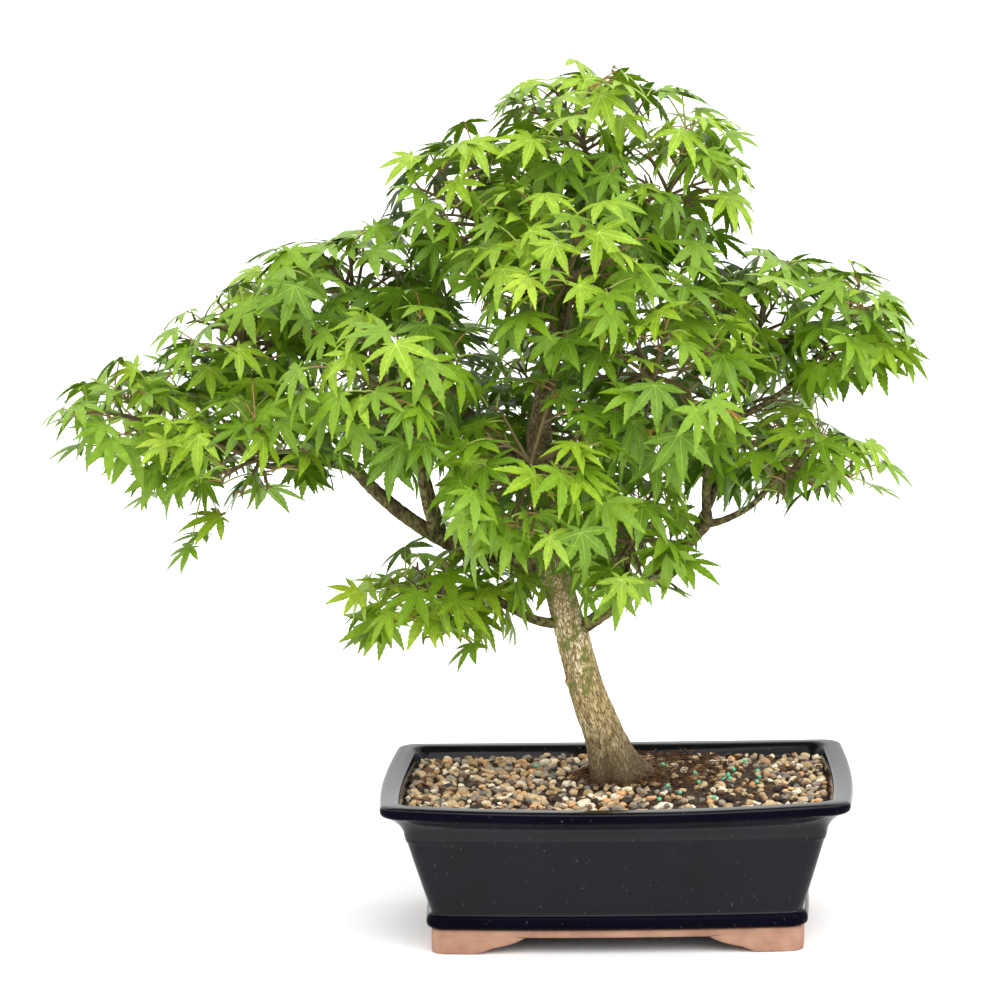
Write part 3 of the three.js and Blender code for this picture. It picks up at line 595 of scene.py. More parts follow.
# %% Where the stones lie
MAIN_STONES = {
    "count": 78, "size": (3.2, 6.4), "spread": (142, 92), "squash": [(1, 1.3), (0.85, 1.1), (0.6, 0.8)],
    "tilt": 25, "clear_of_trunk": 11, "sunk": 0.12, "round": 0.86,
}
SMALL_STONES = {
    "size": (2.1, 5.9), "spread": (160, 108), "squash": [(1.05, 1.6), (0.85, 1.1), (0.65, 1.0)],
    "above": 2.0, "tilt": 0.5, "darts": 16000, "apart": 0.78, "from_wall": 0.5, "from_trunk": 21,
}
EARTHY = {"from": 24, "to": 118, "apart": 1.04, "bare": 0.93, "round_trunk": 34, "at_trunk": 0.7}
TRUNK_FOOT = (1, 16, 24)
INNER_WALL = 17.8
# Patches of bare earth, as (X, Y, radius).
BARE_SOIL = [
    (-38, -2, 10), (54, 56, 12), (86, -46, 17), (44, -14, 13), (72, 12, 16), (30, -56, 9), (-24, -34, 9),
    (48, 24, 15), (112, -30, 11), (-112, 18, 7), (-78, 40, 7), (60, -32, 13), (100, 20, 11), (62, -2, 11),
    (122, -62, 9), (66, -72, 11), (22, 48, 10), (84, 64, 9), (128, 44, 8), (14, -34, 8), (-60, -66, 6),
]


def room_to_wall(x, y):
    """Millimetres from a point on the gravel to the pot's inner wall."""
    half_length, half_depth = RIM["half_length"] - INNER_WALL, RIM["half_depth"] - INNER_WALL
    size = (half_length / RIM["half_length"]) ** 3
    to_side = half_depth - BOW["side"] * size * (x / half_length) ** 2 - abs(y)
    to_end = half_length - BOW["end"] * size * (y / half_depth) ** 2 - abs(x)
    return min(to_side, to_end)


def main_stones(random):
    """The larger stones, by the solid model's own rule: place and size, three stretches and two turns."""
    reach_x, reach_y = MAIN_STONES["spread"]
    for _ in range(MAIN_STONES["count"]):
        x, y = mix(-reach_x, reach_x, random()), mix(-reach_y, reach_y, random())
        size = mix(*MAIN_STONES["size"], random() * random())
        stretch = [size * mix(*squash, random()) for squash in MAIN_STONES["squash"]]
        lean = math.radians(mix(-MAIN_STONES["tilt"], MAIN_STONES["tilt"], random()))
        turn = math.radians(360 * random())
        if math.hypot(x - TRUNK_FOOT[0], y - TRUNK_FOOT[1]) >= TRUNK_FOOT[2] + MAIN_STONES["clear_of_trunk"]:
            yield x, y, size, stretch, lean, turn


def strewn(random, found):
    """Places and sizes of the small stones that lie between the others."""
    first = len(found)
    reach_x, reach_y = SMALL_STONES["spread"]
    for _ in range(SMALL_STONES["darts"]):
        x, y = mix(-reach_x, reach_x, random()), mix(-reach_y, reach_y, random())
        size = mix(*SMALL_STONES["size"], random())
        chance = random()
        from_trunk = math.hypot(x - TRUNK_FOOT[0], y - TRUNK_FOOT[1])
        if room_to_wall(x, y) < size + SMALL_STONES["from_wall"] or from_trunk < SMALL_STONES["from_trunk"]:
            continue
        if chance < EARTHY["bare"] and any(math.hypot(x - px, y - py) < reach for px, py, reach in BARE_SOIL):
            continue
        if from_trunk < EARTHY["round_trunk"] and chance < EARTHY["at_trunk"]:
            continue
        apart = np.hypot(found[:, 0] - x, found[:, 1] - y)
        spacing = (EARTHY if EARTHY["from"] < x < EARTHY["to"] else SMALL_STONES)["apart"]
        if (apart > spacing * (found[:, 2] + size)).all():
            found = np.vstack([found, (x, y, size)])
    return found[first:]


random = seeded(SEEDS["gravel"])
large = list(main_stones(random))
small = strewn(random, np.array([stone[:3] for stone in large]))
print(len(large), "large stones and", len(small), "small ones")

# %% [markdown]
# ## Laying the stones
#
# Every stone gets one of the shapes, a stretch, a lean and a turn, and is set down so that its highest
# point comes where it should. All go into one mesh, because a thousand objects would be slow to handle.
# Real gravel has stones of the same few rocks, so the colours are dealt out by their shares.

# %% Laying the stones
# Each kind of stone, with its share of the gravel and its colour.
STONE_TINTS = {
    "beige": (0.24, paint(200, 174, 134)), "tan": (0.18, paint(176, 144, 104)),
    "grey": (0.2, paint(152, 139, 120)), "orange": (0.06, paint(224, 170, 118)),
    "brown": (0.11, paint(108, 79, 56)), "dark": (0.08, paint(54, 44, 36)),
    "pale": (0.11, paint(234, 219, 190)), "slate": (0.05, paint(118, 114, 108)),
    "pellet": (0, paint(104, 196, 156)),
}
# Pellets of plant food, 3 mm across, lie scattered on the top.
PELLETS = [
    (37, 95), (34, 55), (25, 38), (87, 35), (83, 17), (79, 5), (84, 4), (38, -21), (47, -42), (32, -62),
    (72, -58), (105, 30), (106, 10), (104, -7), (96, 66), (-62, 54), (58, 24), (61, -8),
]
PELLET = {"radius": 1.6, "above": 1.8, "tint": 8}


def lay_stone(x, y, top, stretch, lean, turn, random):
    """One stone of a random shape and kind, whose highest point is at the given height."""
    shape = STONE_SHAPES[int(random() * len(STONE_SHAPES))] * stretch
    turning = np.array(Matrix.Rotation(turn, 3, "Z") @ Matrix.Rotation(lean, 3, "X"))
    shape = shape @ turning.T
    tint = int(np.searchsorted(weights, random() * weights[-1]))
    gravel.add(shape + (x, y, top - shape[:, 2].max()), BALL_FACES, tint)


chooser = seeded(SEEDS["laying"])
weights = np.cumsum([weight for weight, _ in STONE_TINTS.values()])
gravel = Bundle()
for x, y, size, stretch, lean, turn in large:
    top = gravel_height(x, y) - MAIN_STONES["sunk"] * size + MAIN_STONES["round"] * stretch[2]
    lay_stone(x, y, top, np.array(stretch) * MAIN_STONES["round"], lean, turn, chooser)
for x, y, size in small:
    stretch = [size * mix(*squash, chooser()) for squash in SMALL_STONES["squash"]]
    top = gravel_height(x, y) + SMALL_STONES["above"] * chooser()
    lean = stray(chooser, SMALL_STONES["tilt"])
    lay_stone(x, y, top, stretch, lean, 2 * math.pi * chooser(), chooser)
for x, y in PELLETS:
    pellet = BALL_POINTS * PELLET["radius"] + (x, y, gravel_height(x, y) + PELLET["above"])
    gravel.add(pellet, BALL_FACES, PELLET["tint"])
stone_finishes = [
    surface("stone_" + name, toned(colour, 0.62, 1.28), (420, 5), (1300, 4, 0.5, 0.3), (0.6, 0.92), 0.35)
    for name, (_, colour) in STONE_TINTS.items()
]
points, faces, tints = gravel.arrays()
add_piece("gravel_stones", points, faces, stone_finishes, "gravel", ["gravel"], smooth=False, tints=tints)

# %% [markdown]
# ## Tubes along a path
#
# Trunk, boughs, twigs, stalks and leaf veins are all tapering tubes. Blender's curves can be given a
# round bevel, but each would be an object of its own and could carry no bark.
# So one function lays rings along a path, turns them as little as it can from one to the next, and
# closes the far end. The near end stays open, because it starts inside the limb that carries it.

# %% Paths and tubes
def bent_path(start, end, bend, steps):
    """A smooth path whose middle is moved by the bend: a quadratic curve."""
    start, end = np.array(start, float), np.array(end, float)
    control = (start + end) / 2 + 2 * np.array(bend, float)
    t = np.linspace(0, 1, steps + 1)[:, None]
    return start * (1 - t) ** 2 + control * 2 * t * (1 - t) + end * t**2


def at_share(path, share):
    """The point at a share of a path's steps."""
    place = min(share * (len(path) - 1), len(path) - 1 - 1e-6)
    step = int(place)
    return path[step] + (path[step + 1] - path[step]) * (place - step)


def evenly(path, spacing):
    """The same path with its points this far apart. More columns, such as a radius, go with it."""
    far = np.concatenate([[0], np.cumsum(np.linalg.norm(np.diff(path[:, :3], axis=0), axis=1))])
    places = np.linspace(0, far[-1], max(2, round(far[-1] / spacing)) + 1)
    return np.stack([np.interp(places, far, column) for column in path.T], axis=1), places


def directions(path):
    """Unit vectors along and across a path, carried on with as little turning as can be."""
    along = np.gradient(path, axis=0)
    along /= np.linalg.norm(along, axis=1)[:, None]
    across = np.empty_like(along)
    guess = np.array([0.2, 1, 0.1])
    for k, forward in enumerate(along):
        guess = guess - guess.dot(forward) * forward
        guess /= np.linalg.norm(guess)
        across[k] = guess
    return along, across, np.cross(along, across)


def tube(path, radii, sides):
    """Points and triangles of a tube. The radii may differ along the path and round it."""
    _, across, other = directions(path)
    angles = np.arange(sides) / sides * 2 * math.pi
    radii = np.broadcast_to(np.asarray(radii, float).reshape(len(path), -1), (len(path), sides))
    spokes = across[:, None] * np.cos(angles)[:, None] + other[:, None] * np.sin(angles)[:, None]
    rings = path[:, None] + spokes * radii[:, :, None]
    points = np.vstack([rings.reshape(-1, 3), path[-1:]])
    faces = halves(grid_faces(len(path), sides))
    last = (len(path) - 1) * sides
    column = np.arange(sides)
    tip = np.stack([last + column, last + (column + 1) % sides, np.full(sides, len(points) - 1)], axis=1)
    return points, np.vstack([faces, tip])


def outward_from(path, points, sides):
    """Unit vectors from a tube's path to its points."""
    outward = points - np.vstack([np.repeat(path, sides, axis=0), path[-1:]])
    return outward / np.maximum(np.linalg.norm(outward, axis=1), 1e-6)[:, None]


trial = bent_path((0, 0, 0), (0, 0, 10), (1, 0, 0), 4)
_, trial_faces = tube(trial, np.ones(len(trial)), 3)
print("a tube of", len(trial), "rings and 3 sides has", len(trial_faces), "faces")

# %% [markdown]
# ## The trunk
#
# It leans to the left, is thickest where it leaves the gravel and swells there into surface roots.
# A chain of stretched balls or a skin modifier would be lumpy in the wrong places. So the trunk is a
# tube through the same knots as the solid's, with five lobes at its foot that fade out upwards.

# %% The trunk
TRUNK_KNOTS = np.array([
    [1, 16, 106, 24], [-3, 16, 118, 19.5], [-9, 15, 138, 15.6], [-22, 12, 176, 13.4], [-31, 10, 214, 12.4],
    [-39, 8, 245, 11.4], [-45, 6, 275, 10.2], [-47, 5, 305, 9.8], [-52, 4, 345, 10], [-53, 4, 366, 9.8],
    [-51, 5, 390, 6.8], [-46, 6, 418, 5.8], [-34, 6, 469, 5], [-20, 4, 515, 4], [-12, 3, 548, 3],
])
ROOT_FLARE = {"lobes": 5, "depth": 0.14, "fade": 16, "turn": 0.6}
TRUNK_SIDES = 112
TRUNK_STEP = 1.35
TRUNK_LENGTH = 440
UNDER_GRAVEL = (1.5, 0, -7, 2.5)


def per_point(of_rings, at_top=0):
    """One number for each ring of the trunk, given to all its points, and one for the point at the top."""
    return np.append(np.repeat(of_rings, TRUNK_SIDES), at_top)


trunk_curve = smooth_profile(TRUNK_KNOTS, 24)
into_soil = trunk_curve[0] + UNDER_GRAVEL
trunk_path, _ = evenly(np.vstack([into_soil, trunk_curve]), TRUNK_STEP)
heights = trunk_path[:, 2] - TRUNK_KNOTS[0][2]
angles = np.arange(TRUNK_SIDES) / TRUNK_SIDES * 2 * math.pi
fade = np.exp(-np.maximum(heights, 0) / ROOT_FLARE["fade"])[:, None]
flare = 1 + ROOT_FLARE["depth"] * np.cos(ROOT_FLARE["lobes"] * angles + ROOT_FLARE["turn"])[None] * fade
smooth_trunk, trunk_faces = tube(trunk_path[:, :3], trunk_path[:, 3:] * flare, TRUNK_SIDES)
print("the trunk has", len(trunk_path), "rings of", TRUNK_SIDES, "points")

# %% [markdown]
# ## The trunk's bark
#
# A maple's bark is smooth when young. On an old bonsai it opens into a net of lens-shaped cracks that
# are longer near the foot, and one pruned twig has left a nub.
# A bump in the finish alone would leave the outline smooth, so the relief is real: the distance to the
# edge of Voronoi cells, stretched along the trunk, is cut into the fine tube. The same number is kept
# on each point, so that the finish can darken the cracks exactly where they are.

# %% Relief of the bark
CRACK = {
    "cell": 2.5, "wide": 0.32, "wander": (0.35, 1.3),
    "stretch": (6.4, 2.2), "stretch_ends": 2, "depth": (0.55, 0.2), "depth_ends": 1.6,
}
NUB = {"place": (-36.5, 8, 181), "height": 2.2, "width": 1.9}
GRAIN = {"height": 0.22, "upright": (1, 1, 0.4)}
LUMPS = {"height": 0.6, "scale": 0.045}
SUNK = 0.2


def crack_at(point):
    """1 on a plate of bark and 0 in the crack between two plates."""
    place = Vector(point) / CRACK["cell"]
    place += CRACK["wander"][0] * noise.noise_vector(place * CRACK["wander"][1])
    near = noise.voronoi(place)[0]
    return float(smoothstep(near[1] - near[0], 0, CRACK["wide"]))


up_trunk = per_point(np.clip(heights / TRUNK_LENGTH, 0, 1), 1)
round_trunk = np.append(np.tile(angles, len(trunk_path)), 0)
along_trunk = per_point(np.arange(len(trunk_path)) * TRUNK_STEP)
wide_trunk = per_point(trunk_path[:, 3])
stretches = mix(*CRACK["stretch"], np.minimum(1, CRACK["stretch_ends"] * up_trunk))
bark_places = np.stack([
    wide_trunk * np.cos(round_trunk), wide_trunk * np.sin(round_trunk), along_trunk / stretches,
], axis=1)
relief = np.array([crack_at(point) for point in bark_places])
lumps = LUMPS["height"] * fractal_at(smooth_trunk, LUMPS["scale"], 0.9, 3)
grain = GRAIN["height"] * fractal_at(smooth_trunk * GRAIN["upright"], 0.8, 0.6, 3)
depth = mix(*CRACK["depth"], np.minimum(1, CRACK["depth_ends"] * up_trunk))
nub = NUB["height"] * np.exp(-((smooth_trunk - NUB["place"]) ** 2).sum(1) / (2 * NUB["width"] ** 2))
push = (relief - 1) * depth + grain + lumps * (1 - up_trunk) + nub - SUNK
bark_points = smooth_trunk + outward_from(trunk_path[:, :3], smooth_trunk, TRUNK_SIDES) * push[:, None]
print("cracks cover", round(float((relief < 0.5).mean()), 2), "of the bark")

# %% [markdown]
# ## Bark finishes
#
# The old bark is tan to beige-grey on its plates and darker in its cracks, with a fine net of fissures.
# The young boughs are olive brown. A photograph of bark would repeat and stretch.
# Both barks are built by one function from noise and from the relief that is stored on the points,
# because only their colours differ.

# %% Finish of the bark
def keep_on_points(piece, **columns):
    """Stores numbers or vectors on the points, under their names, for the finish to read."""
    for name, values in columns.items():
        values = np.asarray(values, dtype=np.float32)
        kind, key = ("FLOAT", "value") if values.ndim == 1 else ("FLOAT_VECTOR", "vector")
        piece.data.attributes.new(name, kind, "POINT").data.foreach_set(key, values.ravel())


def kept(finish, name, output="Fac"):
    """What is stored on the points under this name."""
    return add_node(finish, "Attribute", {}, attribute_name=name).outputs[output]


def bark_finish(name, plates, crack_tint, stretch):
    """Bark without its colour yet, and the colour: blotched plates, darker where the relief is low."""
    finish, shader = new_finish(name, Roughness=0.9, Specular_IOR_Level=0.25)
    blotches = ramp(finish, noise_at(finish, 85, 6, stretch), plates)
    fine = noise_at(finish, 900, 5, stretch)
    link(finish, spread(finish, fine, 0.78, 0.98), shader, "Roughness")
    add_bump(finish, shader, fine, 0.6, 0.35)
    return finish, shader, blend(finish, kept(finish, "relief"), crack_tint, blotches)


bark_tints = [
    (0.3, paint(160, 140, 98)), (0.44, paint(198, 180, 132)), (0.56, paint(228, 211, 164)),
    (0.7, paint(248, 238, 200)),
]
NET_CELL = 1.7
BARK, shader, cracked = bark_finish("trunk_bark", bark_tints, paint(150, 128, 88), (1, 1, 0.3))
sockets = {"Vector": kept(BARK, "bark_place", "Vector"), "Scale": 1 / NET_CELL}
net = add_node(BARK, "TexVoronoi", sockets, feature="DISTANCE_TO_EDGE").outputs[0]
fissures = ramp(BARK, net, [(0.0, paint(138, 120, 94)), (0.14, (1, 1, 1))])
netted = blend(BARK, 1.0, cracked, fissures, "MULTIPLY")
green = blend(BARK, kept(BARK, "algae"), netted, paint(104, 116, 48))
# The dark brown is damp and fibres at the foot, and painted shade under the crown higher up.
link(BARK, blend(BARK, kept(BARK, "foot"), green, paint(64, 50, 34)), shader, "Base Color")
print("the bark's finish has", len(BARK.node_tree.nodes), "nodes")

# %% [markdown]
# ## Algae, damp, and painted shade
#
# Green algae grow where the trunk stays moist, and its foot is dark with damp and fibres. Higher up, under
# the crown, the bark is darkened as painted shade. Masks could be painted by hand, but then they would fit
# one mesh only.
# Here each is a curve over the height, broken up by noise, and stored on the points.

# %% Where the bark is green or dark
# Heights are in millimetres above the gravel.
ALGAE = {"rises": (45, 80), "falls": (130, 330), "patches": (0.18, 0.34), "share": 0.85}
DAMP = {"heights": (0, 62), "share": 0.88}
FIBROUS = {"fades": 9, "patchy": 0.3, "low": 1.2, "edge": (0.4, 1.1), "share": 0.9}
# Painted shade: the bark is darkened under the crown, between these heights.
PAINTED_CROWN_SHADE = {"heights": (185, 245), "share": 0.55}

patches = fractal_at(smooth_trunk, 0.12, 0.8, 4, (9, 4, 2))
mossy = per_point(smoothstep(heights, *ALGAE["rises"]) * (1 - smoothstep(heights, *ALGAE["falls"])))
low = per_point(np.exp(-np.maximum(heights, 0) / FIBROUS["fades"]))
damp = per_point(1 - smoothstep(heights, *DAMP["heights"]))
painted_crown_shade = per_point(smoothstep(heights, *PAINTED_CROWN_SHADE["heights"]))
fibrous = smoothstep(FIBROUS["patchy"] * patches + FIBROUS["low"] * low, *FIBROUS["edge"])
trunk = add_piece("trunk_with_bark", bark_points, trunk_faces, [BARK], "trunk_bark", ["trunk"])
keep_on_points(
    trunk, relief=relief, bark_place=bark_places,
    algae=ALGAE["share"] * mossy * smoothstep(patches, *ALGAE["patches"]),
    # The foot mask also carries the painted shade under the crown.
    foot=np.maximum.reduce([DAMP["share"] * damp, FIBROUS["share"] * fibrous, PAINTED_CROWN_SHADE["share"] * painted_crown_shade]),
)

# %% [markdown]
# ## Fine roots
#
# Fine roots hang from the trunk's foot like a beard and run out over the earth, and loose fibres lie on
# the bare earth to its right.
# Blender's hair would draw them well, but it is lost when the model is saved for other programs. So
# each fibre is a thin tube of three sides along a bent path.

# %% Root fibres
FIBRES = {
    "count": 340, "from": (17, 24), "height": (-1, 9), "reach": (4, 17), "end": (-1, 2.4), "stray": 9,
    "bend": (3, 2), "thick": (0.45, 0.2), "steps": 5,
}
LITTER = {
    "count": 260, "x": (16, 76), "y": (-16, 96), "long": (6, 20), "lift": (0.4, 3.4), "bend": (4, 0.5),
    "steps": 4,
}


def lay_fibre(start, end, bend, steps):
    fibres.add(*tube(bent_path(start, end, bend, steps), np.linspace(*FIBRES["thick"], steps + 1), 3))


def heading(angle):
    """The level direction at this angle."""
    return np.array([math.cos(angle), math.sin(angle), 0])


random = seeded(SEEDS["fibres"])
fibres = Bundle()
for _ in range(FIBRES["count"]):
    away = heading(2 * math.pi * random())
    start = np.array([*TRUNK_FOOT[:2], 0]) + away * mix(*FIBRES["from"], random())
    start[2] = MOUND["middle"] + mix(*FIBRES["height"], random() ** 2)
    end = start + away * mix(*FIBRES["reach"], random())
    end[:2] += [stray(random, FIBRES["stray"]), stray(random, FIBRES["stray"])]
    end[2] = MOUND["middle"] + mix(*FIBRES["end"], random())
    sideways, up = FIBRES["bend"]
    lay_fibre(start, end, (stray(random, sideways), stray(random, sideways), up * random()), FIBRES["steps"])
for _ in range(LITTER["count"]):
    start = np.array([mix(*LITTER["x"], random()), mix(*LITTER["y"], random()), 0])
    along = heading(2 * math.pi * random())
    end = start + mix(*LITTER["long"], random()) * along
    start[2] = MOUND["middle"] + mix(*LITTER["lift"], random())
    end[2] = MOUND["middle"] + mix(*LITTER["lift"], random())
    sideways, up = LITTER["bend"]
    lay_fibre(start, end, (stray(random, sideways), stray(random, sideways), up), LITTER["steps"])
fibre_tints = [(0.35, paint(62, 42, 28)), (0.65, paint(124, 90, 60))]
FIBRE = surface("root_fibre", fibre_tints, (120, 3), (1500, 2, 0.4, 0.1), 0.9, 0.2)
points, faces, _ = fibres.arrays()
add_piece("root_fibres", points, faces, [FIBRE], "soil")

# %% [markdown]
# ## Boughs
#
# Each bough leaves its limb at a share of its length and runs to a point, bent in between, just as in
# the solid model. A real one has a collar where it joins, and slight kinks and rings where twigs grew.
# A plain cone would look like wire, and sculpting 22 boughs would take days. So the radius swells at
# the collar and the rings, the path wanders by a millimetre, and noise roughens the skin.

# %% Places of the boughs
# Each as (name, limb it grows from, share along it, end, bend, radius at the root and at the tip).
BOUGHS = [
    ("low_right", "trunk", 0.293, (70, -8, 302), (3, -4, -3), (5.4, 3.9)),
    ("right_up", "low_right", 1, (98, -2, 404), (-10, 0, 2), (3.4, 2.4)),
    ("right_out", "low_right", 1, (118, -8, 332), (2, 0, -6), (2.6, 2)),
    ("right_tip", "right_up", 0.7, (142, 2, 410), (0, 0, -4), (2.4, 2)),
    ("left", "trunk", 0.42, (-191, -14, 350), (-6, 0, -20), (7, 4.6)),
    ("left_reach", "left", 1, (-304, 0, 366), (0, -4, 0), (4.4, 2.4)),
    ("left_upper", "trunk", 0.565, (-126, 4, 452), (-22, 0, -8), (6.6, 4)),
    ("left_far", "left_upper", 0.8, (-226, 16, 428), (0, 4, 6), (3.6, 2.4)),
    ("high_left", "trunk", 0.79, (-66, 2, 496), (-2, 0, -4), (3.6, 2.6)),
    ("high_right", "trunk", 0.86, (22, 8, 512), (4, 0, -2), (3, 2.2)),
    ("low_left", "trunk", 0.31, (-94, -12, 256), (-2, 0, -7), (4, 2.6)),
    ("left_front", "left", 0.55, (-142, -52, 380), (0, -6, -6), (4, 2.6)),
    ("front", "trunk", 0.44, (-50, -58, 354), (0, -6, -8), (4.4, 2.8)),
    ("front_right", "trunk", 0.6, (12, -48, 412), (4, -6, -6), (3.8, 2.4)),
    ("front_high", "trunk", 0.74, (-30, -56, 478), (0, -6, -8), (3.4, 2.2)),
    ("back_low", "trunk", 0.33, (-44, 48, 278), (0, 5, -5), (4, 2.6)),
    ("back_left", "left", 0.5, (-150, 48, 370), (0, 8, -4), (3.6, 2.4)),
    ("back", "trunk", 0.48, (-54, 64, 352), (0, 8, -8), (5, 3)),
    ("back_right", "low_right", 0.8, (84, 52, 352), (4, 8, -6), (3.6, 2.4)),
    ("back_high", "trunk", 0.72, (-30, 62, 462), (0, 6, -8), (3.6, 2.4)),
    ("left_low", "left_reach", 0.4, (-252, -26, 352), (0, -4, -2), (3, 2.2)),
    ("right_low", "low_right", 0.35, (12, -28, 288), (0, -4, 0), (2.8, 2.2)),
]
print(len(BOUGHS), "boughs")

# %% [markdown]
# ## Bark on the boughs
#
# All boughs become one mesh, in the order of the list, because a bough can only start on a limb that
# has its path already. The paths are kept: the shoots will grow from their ends.

# %% The boughs
BOUGH = {
    "segments": 4, "sides": 16, "steps": 40, "spacing": 1.6, "collar": 0.45, "collar_length": 6,
    "wander": 1.2, "wander_length": 22, "ring": 0.05, "ring_spacing": 2.4, "rough": 0.06,
}

paths = {"trunk": trunk_curve[:, :3]}
boughs, bough_relief = Bundle(), []
for name, on, at, to, bend, (root, tip) in BOUGHS:
    paths[name] = bent_path(at_share(paths[on], at), to, bend, BOUGH["segments"])
    path, far = evenly(bent_path(paths[name][0], to, bend, BOUGH["steps"]), BOUGH["spacing"])
    share = far / far[-1]
    seed = Vector((len(bough_relief), 3, 7))
    wander = [noise.noise_vector(Vector((f / BOUGH["wander_length"], 0, 0)) + seed)[:] for f in far]
    path = path + np.array(wander) * (BOUGH["wander"] * np.sin(math.pi * share))[:, None]
    radius = mix(root, tip, share) * (1 + BOUGH["collar"] * np.exp(-far / BOUGH["collar_length"]))
    radius = radius * (1 + BOUGH["ring"] * np.cos(far / BOUGH["ring_spacing"]) ** 8)
    points, faces = tube(path, radius, BOUGH["sides"])
    rough = fractal_at(points, 0.35, 0.7, 4)
    outward = outward_from(path, points, BOUGH["sides"])
    boughs.add(points + outward * rough[:, None] * BOUGH["rough"] * root, faces)
    bough_relief.append(smoothstep(rough, -0.35, 0.1))
bough_tints = [
    (0.28, paint(70, 60, 38)), (0.44, paint(98, 90, 54)), (0.6, paint(124, 120, 70)),
    (0.78, paint(150, 142, 96)),
]
BOUGH_BARK, shader, cracked = bark_finish("bough_bark", bough_tints, paint(56, 46, 30), (1, 1, 1))
link(BOUGH_BARK, cracked, shader, "Base Color")
points, faces, _ = boughs.arrays()
bough_nodes = [f"bough_{name}" for name, *_ in BOUGHS]
limbs = add_piece("boughs", points, faces, [BOUGH_BARK], "bough_bark", bough_nodes)
keep_on_points(limbs, relief=np.concatenate(bough_relief))

# %% [markdown]
# ## How the plant grows
#
# Every mass of foliage has a middle, a reach and the limb that carries it, as in the solid model.
# A mass keeps to its own space: it ends where the next one begins, with a little overlap so that
# leaves of neighbours mingle and no seam of sky shows between them. The whole crown keeps to an outline
# with two bays of sky, because chance alone would give a round bush.
# A volume painted by hand could say the same. A few planes and two curves are quicker to test against.

# %% The masses and the crown's outline
# Each as (name, middle, reach, limb).
MASSES = [
    ("crown_top", (-18, 4, 590), (88, 88, 62), "trunk"),
    ("crown_left", (-108, 0, 537), (82, 88, 66), "high_left"),
    ("crown_right", (46, 10, 546), (68, 84, 76), "high_right"),
    ("upper_front", (-28, -98, 495), (90, 82, 74), "front_high"),
    ("upper_back", (-34, 102, 494), (92, 82, 74), "back_high"),
    ("upper_left", (-196, 6, 476), (96, 90, 62), "left_upper"),
    ("left_far", (-276, 18, 438), (94, 84, 60), "left_far"),
    ("left_tip", (-344, 0, 380), (80, 76, 60), "left_reach"),
    ("left_low", (-264, -46, 360), (92, 80, 56), "left_low"),
    ("left_front", (-152, -92, 412), (90, 81, 76), "left_front"),
    ("left_back", (-164, 92, 398), (96, 84, 68), "back_left"),
    ("centre_front", (-56, -108, 362), (88, 82, 86), "front"),
    ("centre_right", (34, -88, 422), (86, 82, 82), "front_right"),
    ("centre_back", (-50, 114, 362), (94, 84, 86), "back"),
    ("right_upper", (112, 14, 450), (78, 86, 56), "right_up"),
    ("right_tip", (170, 6, 440), (66, 78, 58), "right_tip"),
    ("right_low", (138, -10, 344), (74, 78, 50), "right_out"),
    ("right_back", (88, 86, 374), (86, 79, 74), "back_right"),
    ("low_right", (14, -42, 294), (66, 76, 62), "right_low"),
    ("low_left", (-130, -14, 247), (86, 77, 58), "low_left"),
    ("low_back", (-42, 84, 284), (86, 78, 62), "back_low"),
]
# The crown's outline as it is seen from the front: its top and its underside, as (X, height).
CROWN_TOP = [
    (-420, 398), (-382, 421), (-331, 452), (-300, 489), (-250, 509), (-188, 525), (-160, 552), (-142, 581),
    (-88, 609), (-60, 624), (-20, 639), (30, 640), (62, 628), (99, 600), (107, 575), (112, 520), (120, 506),
    (150, 503), (195, 494), (218, 467), (234, 436), (239, 400),
]
CROWN_UNDER = [
    (-420, 362), (-388, 336), (-366, 318), (-344, 308), (-322, 300), (-291, 300), (-250, 306), (-216, 319),
    (-213, 212), (-190, 197), (-100, 197), (-19, 199), (4, 210), (20, 226), (56, 234), (72, 280), (100, 300),
    (131, 302), (178, 308), (208, 334), (239, 360),
]
# Two bays of sky reach into the crown from its sides, each as (X, lower edge, upper edge).
SKY_BAYS = [
    [(-214, 264, 320), (-190, 266, 330), (-165, 272, 328), (-134, 284, 288)],
    [(154, 380, 382), (168, 368, 388), (190, 358, 390), (210, 344, 392), (240, 340, 402)],
]
print(len(MASSES), "masses of foliage")

# %% [markdown]
# ## The space of a mass
#
# Twigs and leaves look for light and don't grow into each other. Simulating that would be slow.
# Three quick tests say the same: is a point on the mass's own side of the planes to its neighbours, does
# it lie inside the crown's outline, and does it leave the trunk in sight?

# %% The space of a mass
MINGLE = 15
TIPS_OUT = 1.14
# Looking slightly down, a leaf further back is seen higher by this share of its distance.
SEEN_HIGHER = 0.159
# Towards the front and the back the outline is drawn in, by this much at this depth.
DRAWN_IN = {"by": 55, "depth": 180}
# The trunk shows in the crown's middle: nothing grows in front of it between these sides and heights.
TRUNK_IN_SIGHT = {"sides": (-78, -36), "heights": (334, 404), "before": -4}


def unit(vector):
    return vector / np.linalg.norm(vector)


def neighbours_of(name, middle, reach):
    """Planes that part one mass from the masses whose reach meets its own."""
    planes = []
    for other, its_middle, its_reach, _ in MASSES:
        if other == name:
            continue
        between = np.array(its_middle) - middle
        apart = np.linalg.norm(between)
        towards = between / apart
        own, its = np.linalg.norm(towards * reach), np.linalg.norm(towards * its_reach)
        if own + its > apart:
            planes.append((towards, apart * own / (own + its) + MINGLE))
    return planes


def in_outline(points):
    """Whether all points lie inside the crown's outline, which closes in towards the front and the back."""
    x, y, z = points.T
    seen = z + SEEN_HIGHER * y
    closing = DRAWN_IN["by"] * (y / DRAWN_IN["depth"]) ** 2
    top = np.interp(x, *zip(*CROWN_TOP), left=0, right=0) - closing
    under = np.interp(x, *zip(*CROWN_UNDER)) + closing
    if not ((seen < top) & (seen > under)).all():
        return False
    for bay in SKY_BAYS:
        edge, low, high = zip(*bay)
        across = (x > edge[0]) & (x < edge[-1])
        if (across & (seen > np.interp(x, edge, low)) & (seen < np.interp(x, edge, high))).any():
            return False
    return True


